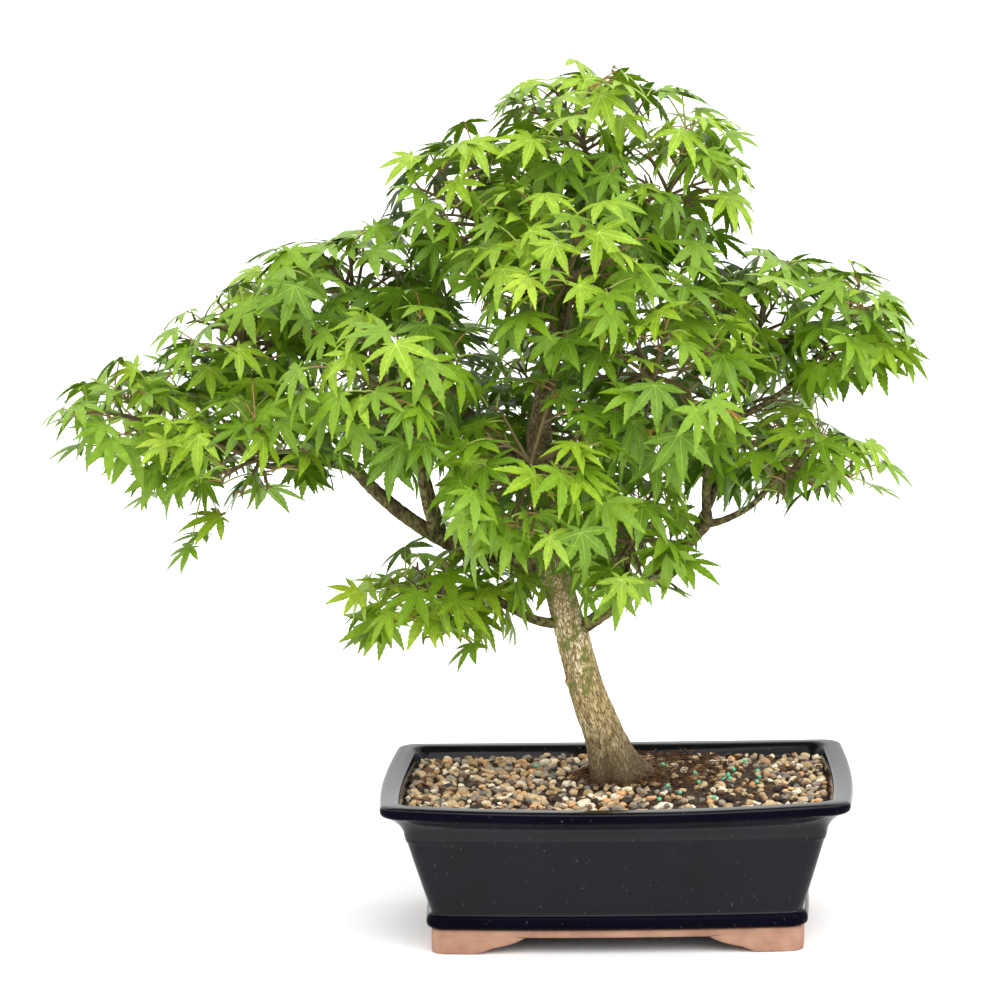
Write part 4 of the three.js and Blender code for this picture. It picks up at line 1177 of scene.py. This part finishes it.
def hides_trunk(spot):
    """Whether something here would stand between the viewer and the trunk."""
    left, right = TRUNK_IN_SIGHT["sides"]
    low, high = TRUNK_IN_SIGHT["heights"]
    seen = spot[2] + SEEN_HIGHER * spot[1]
    return left < spot[0] < right and low < seen < high and spot[1] < TRUNK_IN_SIGHT["before"]


def in_space(points, middle, reach, planes):
    """Whether all points lie in a mass's own space."""
    offset = points - middle
    if (np.linalg.norm(offset / reach, axis=1) > TIPS_OUT).any() or not in_outline(points):
        return False
    return all((offset @ towards < limit).all() for towards, limit in planes)


def room_towards(direction, reach, planes):
    """How far a mass reaches from its middle in this direction."""
    room = 1 / np.linalg.norm(direction / reach)
    for towards, limit in planes:
        slope = direction @ towards
        if slope > 0:
            room = min(room, limit / slope)
    return room


name, middle, reach, _ = MASSES[0]
print(name, "has", len(neighbours_of(name, middle, reach)), "neighbours")

# %% [markdown]
# ## Shoots and twigs
#
# A stem runs from the limb's tip to the middle of its mass, and shoots leave it towards all sides. They
# branch in pairs, as a maple does, because its buds stand opposite each other.
# A tree generator would grow a whole tree of its own, with other boughs. So only the fine wood is grown
# here, from the model's own limbs: directions spread evenly over a ball, as the seeds in a sunflower.

# %% Shoots and twigs
# Radii at the root and the tip, and the share of the length that is bare of leaves.
STEM = {"radius": (2.4, 1.6), "bare": 0.7, "lift": 0.06, "steps": 8}
SHOOT = {
    "radius": (1.7, 0.9), "bare": 0.35, "reach": (0.58, 0.78), "seats": (0.98, 0.3), "steps": 8,
    "turn": 0.3, "arch": (0.3, 0.6), "bend": 0.09,
}
SIDE = {
    "radius": (1.1, 0.65), "bare": 0.2, "at": (0.42, 0.72), "angle": (32, 52), "share": (0.42, 0.3),
    "vary": (0.8, 1.15), "bend": (0, 0, 1.5), "steps": 4, "upright": 0.4,
}


def spread_direction(k, count, turn):
    """Directions spread evenly over a ball, along a spiral of golden angles."""
    height = 1 - 2 * (k + 0.5) / count
    level = math.sqrt(1 - height**2)
    angle = turn + k * math.pi * (3 - math.sqrt(5))
    return np.array([math.cos(angle), math.sin(angle), height / level]) * level


def side_twigs(path, random):
    """Pairs of finer twigs, opposite each other, that leave a shoot sideways and forwards."""
    found = []
    length = np.linalg.norm(path[-1] - path[0])
    along = unit(path[-1] - path[0])
    turn = 2 * math.pi * random()
    for at, share in zip(SIDE["at"], SIDE["share"]):
        turn += math.pi / 2
        first = unit(np.cross(along, (math.cos(turn), math.sin(turn), SIDE["upright"])))
        start = at_share(path, at)
        for hand in (1, -1):
            angle = math.radians(mix(*SIDE["angle"], random()))
            direction = along * math.cos(angle) + hand * first * math.sin(angle)
            end = start + direction * share * length * mix(*SIDE["vary"], random())
            found.append(bent_path(start, end, SIDE["bend"], SIDE["steps"]))
    return found


def kept_inside(path):
    """The part of a twig, from its root, that stays inside the crown's outline."""
    while len(path) > 3 and not in_outline(path[-1:]):
        path = path[:-1]
    return path


def grow_twigs(middle, reach, on, random, planes, count):
    """The stem, the shoots and the side twigs of one mass: (path, root radius, tip radius, bare share)."""
    start = paths[on][-1]
    lift = STEM["lift"] * np.linalg.norm(middle - start)
    stem = bent_path(start, middle, (0, 0, lift), STEM["steps"])
    twigs = [(stem, *STEM["radius"], STEM["bare"])]
    least, more = SHOOT["arch"]
    turn = 6 * random()
    for k in range(count):
        direction = spread_direction(k, count, turn + SHOOT["turn"] * random())
        far = room_towards(direction, reach, planes) * mix(*SHOOT["reach"], random())
        seat = at_share(stem, mix(*SHOOT["seats"], k / count))
        bend = np.array([stray(random, 1), stray(random, 1), least + more * random()]) * SHOOT["bend"] * far
        shoot = kept_inside(bent_path(seat, middle + direction * far, bend, SHOOT["steps"]))
        finer = [kept_inside(path) for path in side_twigs(shoot, random)]
        if hides_trunk(shoot[-1]):
            continue
        twigs.append((shoot, *SHOOT["radius"], SHOOT["bare"]))
        twigs += [(path, *SIDE["radius"], SIDE["bare"]) for path in finer if not hides_trunk(path[-1])]
    return twigs


print("each shoot carries up to", 2 * len(SIDE["at"]), "side twigs")

# %% [markdown]
# ## One leaf
#
# A Japanese maple's leaf has five long lobes and two small ones near the stalk. Each lobe is widest
# before its middle, drawn out to a fine tip, and toothed. They are cut about two thirds of the way in.
# A plane with a cut-out picture would be cheap but blurs close up, and the model may hold no pictures.
# So the outline is worked out: a width along each lobe, plus teeth, and a crease along its vein.

# %% Shape of a leaf
# Lobes as (angle, length), with the blade's length as 1. The notches between them are shares of it too.
LOBES = [(0, 1.0), (41, 0.93), (-41, 0.93), (83, 0.72), (-83, 0.72), (128, 0.32), (-128, 0.32)]
BASAL = 100
NOTCHES = [0.06, 0.17, 0.26, 0.3, 0.3, 0.26, 0.17, 0.06]
LAST_NOTCH = 172
# Half a lobe's width along its length, both as shares of the length.
LOBE_WIDTH = [
    (0, 0.09), (0.12, 0.112), (0.28, 0.122), (0.45, 0.103), (0.6, 0.074), (0.75, 0.043), (0.9, 0.015), (1, 0),
]
TEETH = {
    "large": 6, "small": 2, "depth": 0.017, "peak": 0.62, "tip": 0.6, "dip": -0.55, "fades": 0.55,
    "forward": 0.25,
}
VARIES = {"angle": 3, "length": (0.93, 1.05), "notch": (0.94, 1.06)}


def uneven(k):
    """A fixed but uneven series of shares."""
    return k * 37 % 10 / 10


def lobe_strip(length, left_notch, right_notch, teeth):
    """One lobe, pointing along X: points on its vein and on its two toothed edges."""
    start = 0.5 * (left_notch[0] + right_notch[0])
    shares = [0.0]
    for tooth in range(teeth):
        shares += [(tooth + TEETH["peak"]) / (teeth + TEETH["tip"]), (tooth + 1) / (teeth + TEETH["tip"])]
    shares = np.array([*shares, 1.0])
    x = mix(start, length, shares)
    width = np.interp(shares, *zip(*LOBE_WIDTH)) * length
    jag = np.array([0] + [1, TEETH["dip"]] * teeth + [0]) * TEETH["depth"] * length
    jag = jag * (1 - TEETH["fades"] * shares)
    left = np.stack([x + TEETH["forward"] * jag, width + jag], axis=1)
    right = np.stack([x + TEETH["forward"] * jag, -width - jag], axis=1)
    left[0], right[0] = left_notch, right_notch
    left[-1] = right[-1] = (length, 0)
    return np.stack([x, np.zeros_like(x)], axis=1), left, right


def lobe_faces(vein, left, right, count):
    """Triangles of one lobe between the rows of points that begin at these three numbers."""
    faces = [(0, vein, left), (0, right, vein)]
    for j in range(count - 1):
        faces += [(vein + j, vein + j + 1, left + j), (right + j, right + j + 1, vein + j)]
        if j < count - 2:
            faces += [(left + j, vein + j + 1, left + j + 1), (right + j + 1, vein + j + 1, vein + j)]
    return faces


def leaf_shape(random):
    """A leaf's flat points in its own plane, how far each lies from a vein, its faces and its veins."""
    lobes = []
    for angle, length in LOBES:
        varied = angle + stray(random, VARIES["angle"])
        lobes.append((varied, length * mix(*VARIES["length"], random()), abs(angle) > BASAL))
    lobes.sort()
    between = [(before[0] + after[0]) / 2 for before, after in zip(lobes, lobes[1:])]
    notch_angles = [-LAST_NOTCH, *between, LAST_NOTCH]
    points, folds, faces, veins = [np.zeros(2)], [0.0], [], []
    for k, (angle, length, basal) in enumerate(lobes):
        forward = heading(math.radians(angle))[:2]
        side = np.array([-forward[1], forward[0]])
        corners = []
        for notch in (k + 1, k):
            size = NOTCHES[notch] * mix(*VARIES["notch"], uneven(notch))
            corners.append(size * heading(math.radians(notch_angles[notch] - angle))[:2])
        rows = lobe_strip(length, *corners, TEETH["small" if basal else "large"])
        count, base = len(rows[0]), len(points)
        for flat in rows:
            points += [forward * x + side * y for x, y in flat]
            folds += [abs(y) for _, y in flat]
        faces += lobe_faces(base, base + count, base + 2 * count, count)
        if not basal:
            veins.append(forward * length)
    return np.array(points), np.array(folds), np.array(faces), np.array(veins)


random = seeded(SEEDS["leaves"])
LEAF_SHAPES = [leaf_shape(random) for _ in range(6)]
print("a leaf has", len(LEAF_SHAPES[0][2]), "faces")

# %% [markdown]
# ## Bending a leaf
#
# A real leaf isn't flat: its lobes hang from the heart in a curve, and each is folded a little along
# its vein. A bend modifier turns one way only. So both are worked out on the flat shape: the distance
# from the heart becomes an arc. The veins are paler and stand out a little, so they are slim ribbons.

# %% Bending and veins
def bend_leaf(flat, folds, droop, crease):
    """Flat points of a leaf with a blade of 1, hung in an arc and creased along the veins."""
    far = np.maximum(np.linalg.norm(flat, axis=1), 1e-6)
    bent = flat / far[:, None] * (np.sin(droop * far) / droop)[:, None]
    return np.column_stack([bent, (np.cos(droop * far) - 1) / droop + crease * folds])


VEIN = {"steps": 5, "reach": 0.93, "width": 0.0115, "narrows": 0.75, "thick": 0.009, "thins": 0.6}


def vein_strips(veins, droop):
    """Raised veins: a slim ribbon along each lobe on both sides of the blade."""
    points, faces = [], []
    for tip in veins:
        side = np.array([-tip[1], tip[0]]) / np.linalg.norm(tip)
        start = len(points)
        for share in np.linspace(0.0, VEIN["reach"], VEIN["steps"]):
            half = VEIN["width"] * (1 - VEIN["narrows"] * share)
            for across, lift in ((half, 1), (-half, 1), (-half, -1), (half, -1)):
                flat = tip * share + side * across
                spot = bend_leaf(flat[None], np.zeros(1), droop, 0)[0]
                points.append(spot + (0, 0, lift * VEIN["thick"] * (1 - VEIN["thins"] * share)))
        quads = grid_faces(VEIN["steps"], 4)
        faces.append(halves(quads[quads[:, 0] % 2 == 0]) + start)
    return np.array(points), np.vstack(faces)


print("the veins of a leaf have", len(vein_strips(LEAF_SHAPES[0][3], 1)[1]), "faces")

# %% [markdown]
# ## Where the leaves sit
#
# The rule is the solid model's own: a leaf grows at a random place on a random twig, its stalk and
# blade point out of the mass, and it hangs more steeply the lower it sits.
# A leaf is kept only where it lies near the outside of its mass and not too near another leaf.
# Both demands grow milder with each try, so thin places fill up last.

# %% Placing the leaves
LEAF = {"blade": 34.5, "size": (0.75, 1.18), "stalk": (12, 28), "last": 0.98, "stray": 0.95}
LEAF_POSE = {"rise": (-20, 36), "fall": (4, 65), "roll": 42}
TOP_POSE = {"rise": 38, "fall": 40}
LEAF_TIPS = {"forward": 0.95, "down": 0.22}
LEAF_SPACING = (20, 8)
LEAF_ZONE = {"inner": 0.72, "outer": 1.04, "middle": 0.4}
LEAF_TRIES = 140
UP = np.array([0, 0, 1.0])


def hung(level, fall, roll):
    """A blade's forward and upper directions, when it falls and rolls by these angles."""
    forward = level * math.cos(fall) - UP * math.sin(fall)
    normal = level * math.sin(fall) + UP * math.cos(fall)
    return forward, normal * math.cos(roll) + np.cross(normal, forward) * math.sin(roll)


def choose_leaf(twigs, middle, reach, random):
    """A leaf's seat on a twig, its directions and its size."""
    which = int(random() * len(twigs))
    path, _, _, bare = twigs[which]
    at = mix(bare, LEAF["last"], random())
    seat = at_share(path, at)
    outward = (seat - middle) / reach
    level = outward * (1, 1, 0) + LEAF["stray"] * heading(2 * math.pi * random())
    level /= max(np.linalg.norm(level), 1e-6)
    rise = math.radians(mix(*LEAF_POSE["rise"], random()) + TOP_POSE["rise"] * outward[2])
    fall = math.radians(mix(*LEAF_POSE["fall"], random()) - TOP_POSE["fall"] * outward[2])
    size = mix(*LEAF["size"], random())
    blade = LEAF["blade"] * size
    forward, normal = hung(level, fall, math.radians(mix(-1, 1, random()) * LEAF_POSE["roll"]))
    stalk = level * math.cos(rise) + UP * math.sin(rise)
    heart = seat + stalk * mix(*LEAF["stalk"], random()) * size
    centre = heart + forward * LEAF_ZONE["middle"] * blade
    return {
        "seat": seat, "heart": heart, "forward": forward, "normal": normal, "blade": blade, "at": at,
        "centre": centre, "twig": which, "outward": outward,
    }


def blade_corners(leaf):
    """The tips of the five long lobes, for testing whether a leaf stays in its space."""
    side = np.cross(leaf["normal"], leaf["forward"])
    tips = []
    for angle, length in LOBES[:5]:
        turn = math.radians(angle)
        direction = leaf["forward"] * math.cos(turn) + side * math.sin(turn)
        towards = LEAF_TIPS["forward"] * direction - LEAF_TIPS["down"] * length * leaf["normal"]
        tips.append(leaf["heart"] + leaf["blade"] * length * towards)
    return np.array(tips)


def grow_leaves(twigs, middle, reach, random, planes, wanted):
    """The leaves of one mass, as many as are wanted and find a place."""
    leaves, centres = [], np.empty((0, 3))
    for _ in range(wanted):
        for attempt in range(LEAF_TRIES):
            leaf = choose_leaf(twigs, middle, reach, random)
            patience = attempt / LEAF_TRIES
            offset = leaf["centre"] - middle
            far = np.linalg.norm(offset) / room_towards(unit(offset), reach, planes)
            if far < mix(LEAF_ZONE["inner"], 0, min(1, 2 * patience)) or far > LEAF_ZONE["outer"]:
                continue
            if (np.linalg.norm(centres - leaf["centre"], axis=1) < mix(*LEAF_SPACING, patience)).any():
                continue
            if hides_trunk(leaf["centre"]) or not in_space(blade_corners(leaf), middle, reach, planes):
                continue
            leaves.append(leaf)
            centres = np.vstack([centres, leaf["centre"]])
            break
    return leaves


print("blades are", [round(LEAF["blade"] * size, 1) for size in LEAF["size"]], "mm long")

# %% [markdown]
# ## Laying a leaf and a twig
#
# A leaf is a blade, its veins and a thin stalk that arches a little. Each part goes into the bundle of
# its kind. The blades are too many for one mesh, so they are dealt out to three bundles in turn.
# No bare tips stick out of a maple in leaf: a twig ends in leaves. So it is cut back to its last one.

# %% Laying a leaf and a twig
LEAF_PIECES = 3
LEAF_FORM = {"droop": (0.15, 0.85), "crease": (0.06, 0.4)}
STALK = {"radius": (0.75, 0.45), "arch": 0.07, "steps": 4, "sides": 4}
TWIG_SIDES = 6
# A twig is cut back to its last leaf, but not beyond this share of its length.
TWIG_ENDS = {"limb": 0.74, "side": 0.4}
twig_bundle, stalk_bundle, vein_bundle = Bundle(), Bundle(), Bundle()
leaf_bundles = [Bundle() for _ in range(LEAF_PIECES)]
next_bundle = itertools.cycle(leaf_bundles)
twig_points = []


def lay_leaf(leaf, tint, random):
    """Adds one leaf's blade, veins and stalk to their bundles."""
    flat, folds, faces, veins = LEAF_SHAPES[int(random() * len(LEAF_SHAPES))]
    droop = mix(*LEAF_FORM["droop"], random())
    crease = mix(*LEAF_FORM["crease"], random())
    axes = np.array([leaf["forward"], np.cross(leaf["normal"], leaf["forward"]), leaf["normal"]])
    shape = bend_leaf(flat, folds, droop, crease)
    next(next_bundle).add(shape @ axes * leaf["blade"] + leaf["heart"], faces, tint)
    # Two neighbouring tints of the blade share one tint of the veins, so the veins carry the same painted
    # light and shade.
    vein_points, vein_faces = vein_strips(veins, droop)
    vein_bundle.add(vein_points @ axes * leaf["blade"] + leaf["heart"], vein_faces, min(tint // 2, 2))
    arch = STALK["arch"] * np.linalg.norm(leaf["heart"] - leaf["seat"])
    stalk = bent_path(leaf["seat"], leaf["heart"], (0, 0, arch), STALK["steps"])
    radii = np.linspace(*STALK["radius"], STALK["steps"] + 1)
    # One stalk in three is reddish.
    stalk_bundle.add(*tube(stalk, radii, STALK["sides"]), int(random() * 3 > 2))


def lay_twigs(twigs, leaves):
    """Adds the twigs of a mass to their bundle, and keeps points on their outer halves."""
    ends = [TWIG_ENDS["limb" if bare > SIDE["bare"] else "side"] for *_, bare in twigs]
    for leaf in leaves:
        ends[leaf["twig"]] = max(ends[leaf["twig"]], leaf["at"])
    ends[0] = 1
    for (path, root, tip, _), end in zip(twigs, ends):
        path = np.array([at_share(path, share) for share in np.linspace(0, end, len(path))])
        twig_bundle.add(*tube(path, np.linspace(root, tip, len(path)), TWIG_SIDES))
        twig_points.append(path[len(path) // 2:])


print("the leaves go into", LEAF_PIECES, "pieces")

# %% [markdown]
# ## Growing the whole crown
#
# A leaf in the sun is a light yellow-green, one in the crown's heart a deep green, and the leaves of one
# spray resemble each other. A picture on each leaf isn't needed for that: every leaf wears one of six
# plain tints. It is chosen by the leaf's place in the crown, by its spray, and by a little chance. Its
# place paints light and shade into the tint: leaves high up, far out and low down are lighter.

# %% Growing the whole crown
NEXT_SEED = 37
AREA_PER_LEAF = 94
LEAVES_PER_SHOOT = 4.4
FEWEST_SHOOTS = 4
CORE = {"middle": (-50, 10, 385), "reach": (330, 190, 250)}
# A tint's lightness: height and distance from the core paint light and shade, spray and leaf vary it by
# chance.
LIGHT = {"least": 0.06, "upper": 0.12, "outer": 0.4, "spray": 0.22, "leaf": 0.26, "tints": 5.7, "lightest": 5}
# Painted light: leaves low in the crown get lighter tints.
LOW_LIGHT = {"below": 350, "by": 80, "gain": 0.13}


def tint_of(leaf, spray, random):
    """The number of a leaf's tint, from dark to light."""
    far = min(1, np.linalg.norm((leaf["heart"] - CORE["middle"]) / CORE["reach"]))
    light = LIGHT["least"] + LIGHT["upper"] * leaf["outward"][2] + LIGHT["outer"] * far
    light = light + LIGHT["spray"] * spray[leaf["twig"]] + LIGHT["leaf"] * random()
    light += LOW_LIGHT["gain"] * np.clip((LOW_LIGHT["below"] - leaf["heart"][2]) / LOW_LIGHT["by"], 0, 1)
    return int(np.clip(light * LIGHT["tints"], 0, LIGHT["lightest"]))


for index, (name, middle, reach, on) in enumerate(MASSES):
    random = seeded(SEEDS["crown"] + NEXT_SEED * index)
    middle, reach = np.array(middle, float), np.array(reach, float)
    planes = neighbours_of(name, middle, reach)
    wanted = round(float(reach.prod()) ** (2 / 3) / AREA_PER_LEAF)
    shoots = max(FEWEST_SHOOTS, round(wanted / LEAVES_PER_SHOOT))
    twigs = grow_twigs(middle, reach, on, random, planes, shoots)
    spray = [random() for _ in twigs]
    leaves = grow_leaves(twigs, middle, reach, random, planes, wanted)
    lay_twigs(twigs, leaves)
    for leaf in leaves:
        lay_leaf(leaf, tint_of(leaf, spray, random), random)
print(sum(len(bundle.points) for bundle in leaf_bundles), "leaves in the masses")

# %% [markdown]
# ## Leaves that stand out
#
# Here and there a leaf on a long stalk reaches past its neighbours, and these loose leaves make the
# crown's edge lively. A few small ones have dried and hang brown in front of their twigs.
# They could be left to chance, but then the edge would differ from the plant's. So their places are
# listed as they are seen from the front, and each grows from the nearest twig.

# %% Single leaves at the crown's edge
# Each as (X, seen height).
EDGE_LEAVES = [
    (-281, 478), (-272, 486), (-241, 499), (-138, 569), (-150, 560), (-53, 617), (-62, 610), (-12, 630),
    (54, 612), (66, 610), (78, 600), (92, 592), (99, 578), (194, 477), (186, 484), (212, 455), (214, 434),
    (224, 412), (186, 352), (198, 345), (209, 330), (202, 318), (-405, 356), (-412, 380), (-398, 402),
    (-372, 418), (-309, 290), (-318, 276), (-300, 304), (-352, 318), (-178, 222), (-190, 213), (-46, 200),
    (-110, 200), (44, 246), (64, 262), (-128, 576), (118, 498),
]
DRIED_LEAVES = [(-79, 457), (-88, 537), (88, 378), (35, 367)]
EDGE_LEAF = {
    "longest": 58, "size": (0.8, 1.02), "fall": (0, 34), "roll": 24, "droops": 6, "stray": 8, "turn": 60,
    "off_depth": 0.12, "depth": 0, "before": 0, "tints": (3, 2),
}
DRIED_LEAF = {"depth": -400, "size": 0.55, "before": 26, "tint": 6}
# The leaves turn away from a line this far behind the crown's middle.
LINE_BEHIND = 40


def nearest_twig(x, seen, depth):
    """The point of a twig that is seen nearest to this place, rather one near this depth."""
    away = twig_points - (x, 0, 0)
    away = np.hypot(away[:, 0], away[:, 2] + SEEN_HIGHER * away[:, 1] - seen)
    return twig_points[int(np.argmin(away + EDGE_LEAF["off_depth"] * np.abs(twig_points[:, 1] - depth)))]


random = seeded(SEEDS["edge"])
twig_points = np.vstack(twig_points)
laid = 0
for x, seen in EDGE_LEAVES + DRIED_LEAVES:
    dried = (x, seen) in DRIED_LEAVES
    kind = DRIED_LEAF if dried else EDGE_LEAF
    seat = nearest_twig(x, seen, kind["depth"])
    size = mix(*EDGE_LEAF["size"], random()) * (DRIED_LEAF["size"] if dried else 1)
    height = seen + EDGE_LEAF["droops"] - SEEN_HIGHER * seat[1]
    centre = np.array([x, seat[1] + stray(random, EDGE_LEAF["stray"]), height])
    centre[1] -= kind["before"]
    towards_x = x - CORE["middle"][0] + stray(random, EDGE_LEAF["turn"])
    level = unit(np.array([towards_x, seat[1] - LINE_BEHIND + stray(random, EDGE_LEAF["turn"]), 0]))
    fall = math.radians(mix(*EDGE_LEAF["fall"], random()))
    forward, normal = hung(level, fall, math.radians(mix(-1, 1, random()) * EDGE_LEAF["roll"]))
    heart = centre - forward * LEAF_ZONE["middle"] * LEAF["blade"] * size
    if np.linalg.norm(heart - seat) > EDGE_LEAF["longest"]:
        continue
    laid += 1
    # Loose leaves get the fourth or fifth tint, lighter ones, as painted light on the crown's outside.
    first, more = EDGE_LEAF["tints"]
    tint = DRIED_LEAF["tint"] if dried else first + int(more * random())
    leaf = {"seat": seat, "heart": heart, "forward": forward, "normal": normal, "blade": LEAF["blade"] * size}
    lay_leaf(leaf, tint, random)
print(laid, "of", len(EDGE_LEAVES + DRIED_LEAVES), "single leaves")

# %% [markdown]
# ## Finishes of the crown
#
# A maple's leaf is thin and matt with a faint sheen, and mottled by its finest veins. A see-through
# shader would let light pass, but is lost when the model is saved for other programs. So every tint is
# a plain colour with a fine mottling and a slight bump, and stalks and twigs are made the same way.

# %% Finishes of the crown
# From darkest to lightest, the tints are a scale of painted shade and light; dried leaves are brown.
LEAF_TINTS = {
    "deep": paint(58, 88, 13), "dark": paint(76, 108, 17), "mid": paint(94, 129, 20),
    "fresh": paint(113, 148, 25), "bright": paint(134, 166, 32), "sunlit": paint(153, 180, 41),
    "dried": paint(190, 128, 62),
}
VEIN_TINTS = {"dark": paint(92, 126, 38), "mid": paint(128, 162, 50), "bright": paint(170, 196, 76)}
STALK_TINTS = {"green": paint(160, 176, 80), "reddish": paint(158, 122, 74)}
TWIG_TINTS = {"bark": paint(104, 92, 56)}
FOLIAGE_NODES = [f"foliage_{name}" for name, *_ in MASSES]
leaf_pieces = {f"leaves_{part}": bundle for part, bundle in enumerate(leaf_bundles, start=1)}
# Each as (kind, roughness, tints, pieces, slot).
CROWN_PIECES = [
    ("leaf", 0.42, LEAF_TINTS, leaf_pieces, "foliage"),
    ("vein", 0.5, VEIN_TINTS, {"leaf_veins": vein_bundle}, "foliage"),
    ("stalk", 0.5, STALK_TINTS, {"leaf_stalks": stalk_bundle}, "foliage"),
    ("twig", 0.6, TWIG_TINTS, {"twigs": twig_bundle}, "bough_bark"),
]
MOTTLES = {"grain": (260, 4), "bump": (700, 3, 0.35, 0.2), "tones": (0.8, 1.2, (0.3, 0.55, 0.75))}

for kind, rough, tints, pieces, slot in CROWN_PIECES:
    finishes = []
    for name, colour in tints.items():
        stops = toned(colour, *MOTTLES["tones"])
        between = (rough - 0.08, rough + 0.12)
        finishes.append(surface(f"{kind}_{name}", stops, MOTTLES["grain"], MOTTLES["bump"], between, 0.3))
    for name, bundle in pieces.items():
        points, faces, dealt = bundle.arrays()
        add_piece(name, points, faces, finishes, slot, FOLIAGE_NODES, tints=dealt)

# %% [markdown]
# ## Floor and light
#
# The plant is seen as in a catalogue: white all round, a very soft key light from above, in front and a
# little to the right, and a weaker fill from the right that gleams on the glaze.
# A studio of real lamps and walls would cost time. A white world that grows brighter upwards gives the
# same soft shade under the leaves. The floor is a plain pale sheet, wide enough to fill the view.

# %% Floor and light
FLOOR_SIZE = 90
SKY_GLOW = {"horizon": 1.2, "zenith": 1.75}
LIGHT_AIM = (0, 0, 0.3)
KEY = {"place": (1.2, -2.4, 3.0), "energy": 1.3, "size": math.radians(60)}
FILL = {"place": (2.6, -2.2, 1.4), "energy": 18, "size": 1.6}


def add_light(kind, name, place, energy, size):
    """A sun whose size is an angle, or a round lamp whose size is its width."""
    data = bpy.data.lights.new(name, kind)
    data.energy = energy
    if kind == "SUN":
        data.angle = size
    else:
        data.shape, data.size = "DISK", size
    light = bpy.data.objects.new(name, data)
    light.location = place
    light.rotation_euler = (Vector(LIGHT_AIM) - Vector(place)).to_track_quat("-Z", "Y").to_euler()
    bpy.context.scene.collection.objects.link(light)


corners = np.array([(-1, -1, 0), (1, -1, 0), (1, 1, 0), (-1, 1, 0)]) * FLOOR_SIZE / 2
floor_mesh = bpy.data.meshes.new("floor")
floor_mesh.from_pydata(corners.tolist(), [], [(0, 1, 2, 3)])
floor = bpy.data.objects.new("floor", floor_mesh)
bpy.context.scene.collection.objects.link(floor)
floor_tints = [(0.4, (0.94, 0.94, 0.94)), (0.6, (0.96, 0.96, 0.96))]
floor_mesh.materials.append(surface("white_floor", floor_tints, (3, 2), (200, 2, 0.05, 0.1), 0.9, 0.1))
floor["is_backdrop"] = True
world = bpy.data.worlds.new("white_studio")
world.use_nodes = True
sky = world.node_tree.nodes["Background"]
sky.inputs["Color"].default_value = (1, 1, 1, 1)
direction = add_node(world, "TexCoord", {}).outputs["Generated"]
height = add_node(world, "SeparateXYZ", {0: direction}).outputs["Z"]
link(world, spread(world, height, SKY_GLOW["horizon"], SKY_GLOW["zenith"]), sky, "Strength")
bpy.context.scene.world = world
add_light("SUN", "key", **KEY)
add_light("AREA", "fill", **FILL)
bpy.context.scene.view_settings.view_transform = "Standard"
print("the floor is", FLOOR_SIZE, "m wide, and the key light stands at", KEY["place"])

# %% [markdown]
# ## The camera
#
# It looks a little down on the pot, from slightly right of its front, and it stands far back with a
# long lens, so the pot's sides hardly converge.
# Its place was worked out from the pot's rim and feet. It could also be moved by hand until the view
# fits, but a place given by angles and a distance is easier to read and to change.

# %% The camera
VIEW = {
    "elevation": 9.05, "side": 2.51, "roll": -1.15, "far": 3353.3, "aim": (-82.85, 0, 320.1),
    "lens": 163.67, "sensor": 36, "sees_to": 200,
}


def view_axes(*angles):
    """The camera's right, up and backward directions, from its elevation, side turn and roll."""
    level, turn, tilt = (math.radians(angle) for angle in angles)
    back = np.array([math.sin(turn) * math.cos(level), -math.cos(turn) * math.cos(level), math.sin(level)])
    right = unit(np.cross(-back, UP))
    up = np.cross(right, -back)
    return right * math.cos(tilt) + up * math.sin(tilt), up * math.cos(tilt) - right * math.sin(tilt), back


right, up, back = view_axes(VIEW["elevation"], VIEW["side"], VIEW["roll"])
place = (np.array(VIEW["aim"]) + back * VIEW["far"]) * MM + HOME
lens = bpy.data.cameras.new("camera")
lens.lens = VIEW["lens"]
lens.sensor_width = VIEW["sensor"]
lens.clip_end = VIEW["sees_to"]
camera = bpy.data.objects.new("camera", lens)
turn = Matrix(np.column_stack([right, up, back]).tolist()).to_4x4()
camera.matrix_world = Matrix.Translation(Vector(place)) @ turn
bpy.context.scene.collection.objects.link(camera)
bpy.context.scene.camera = camera
print("the camera stands at", place.round(3), "m")

# %% [markdown]
# ## Sizes, and the end
#
# The leaves' tips may pass the solid model's box by a little. The two boxes are shown, so that
# this can be measured.

# %% Sizes, and the end
visual_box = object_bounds()
{name: [list(corner) for corner in box] for name, box in (("cad", CAD_BOX), ("visual", visual_box))}
print("the dressed plant fills", [[round(value, 4) for value in corner] for corner in visual_box])
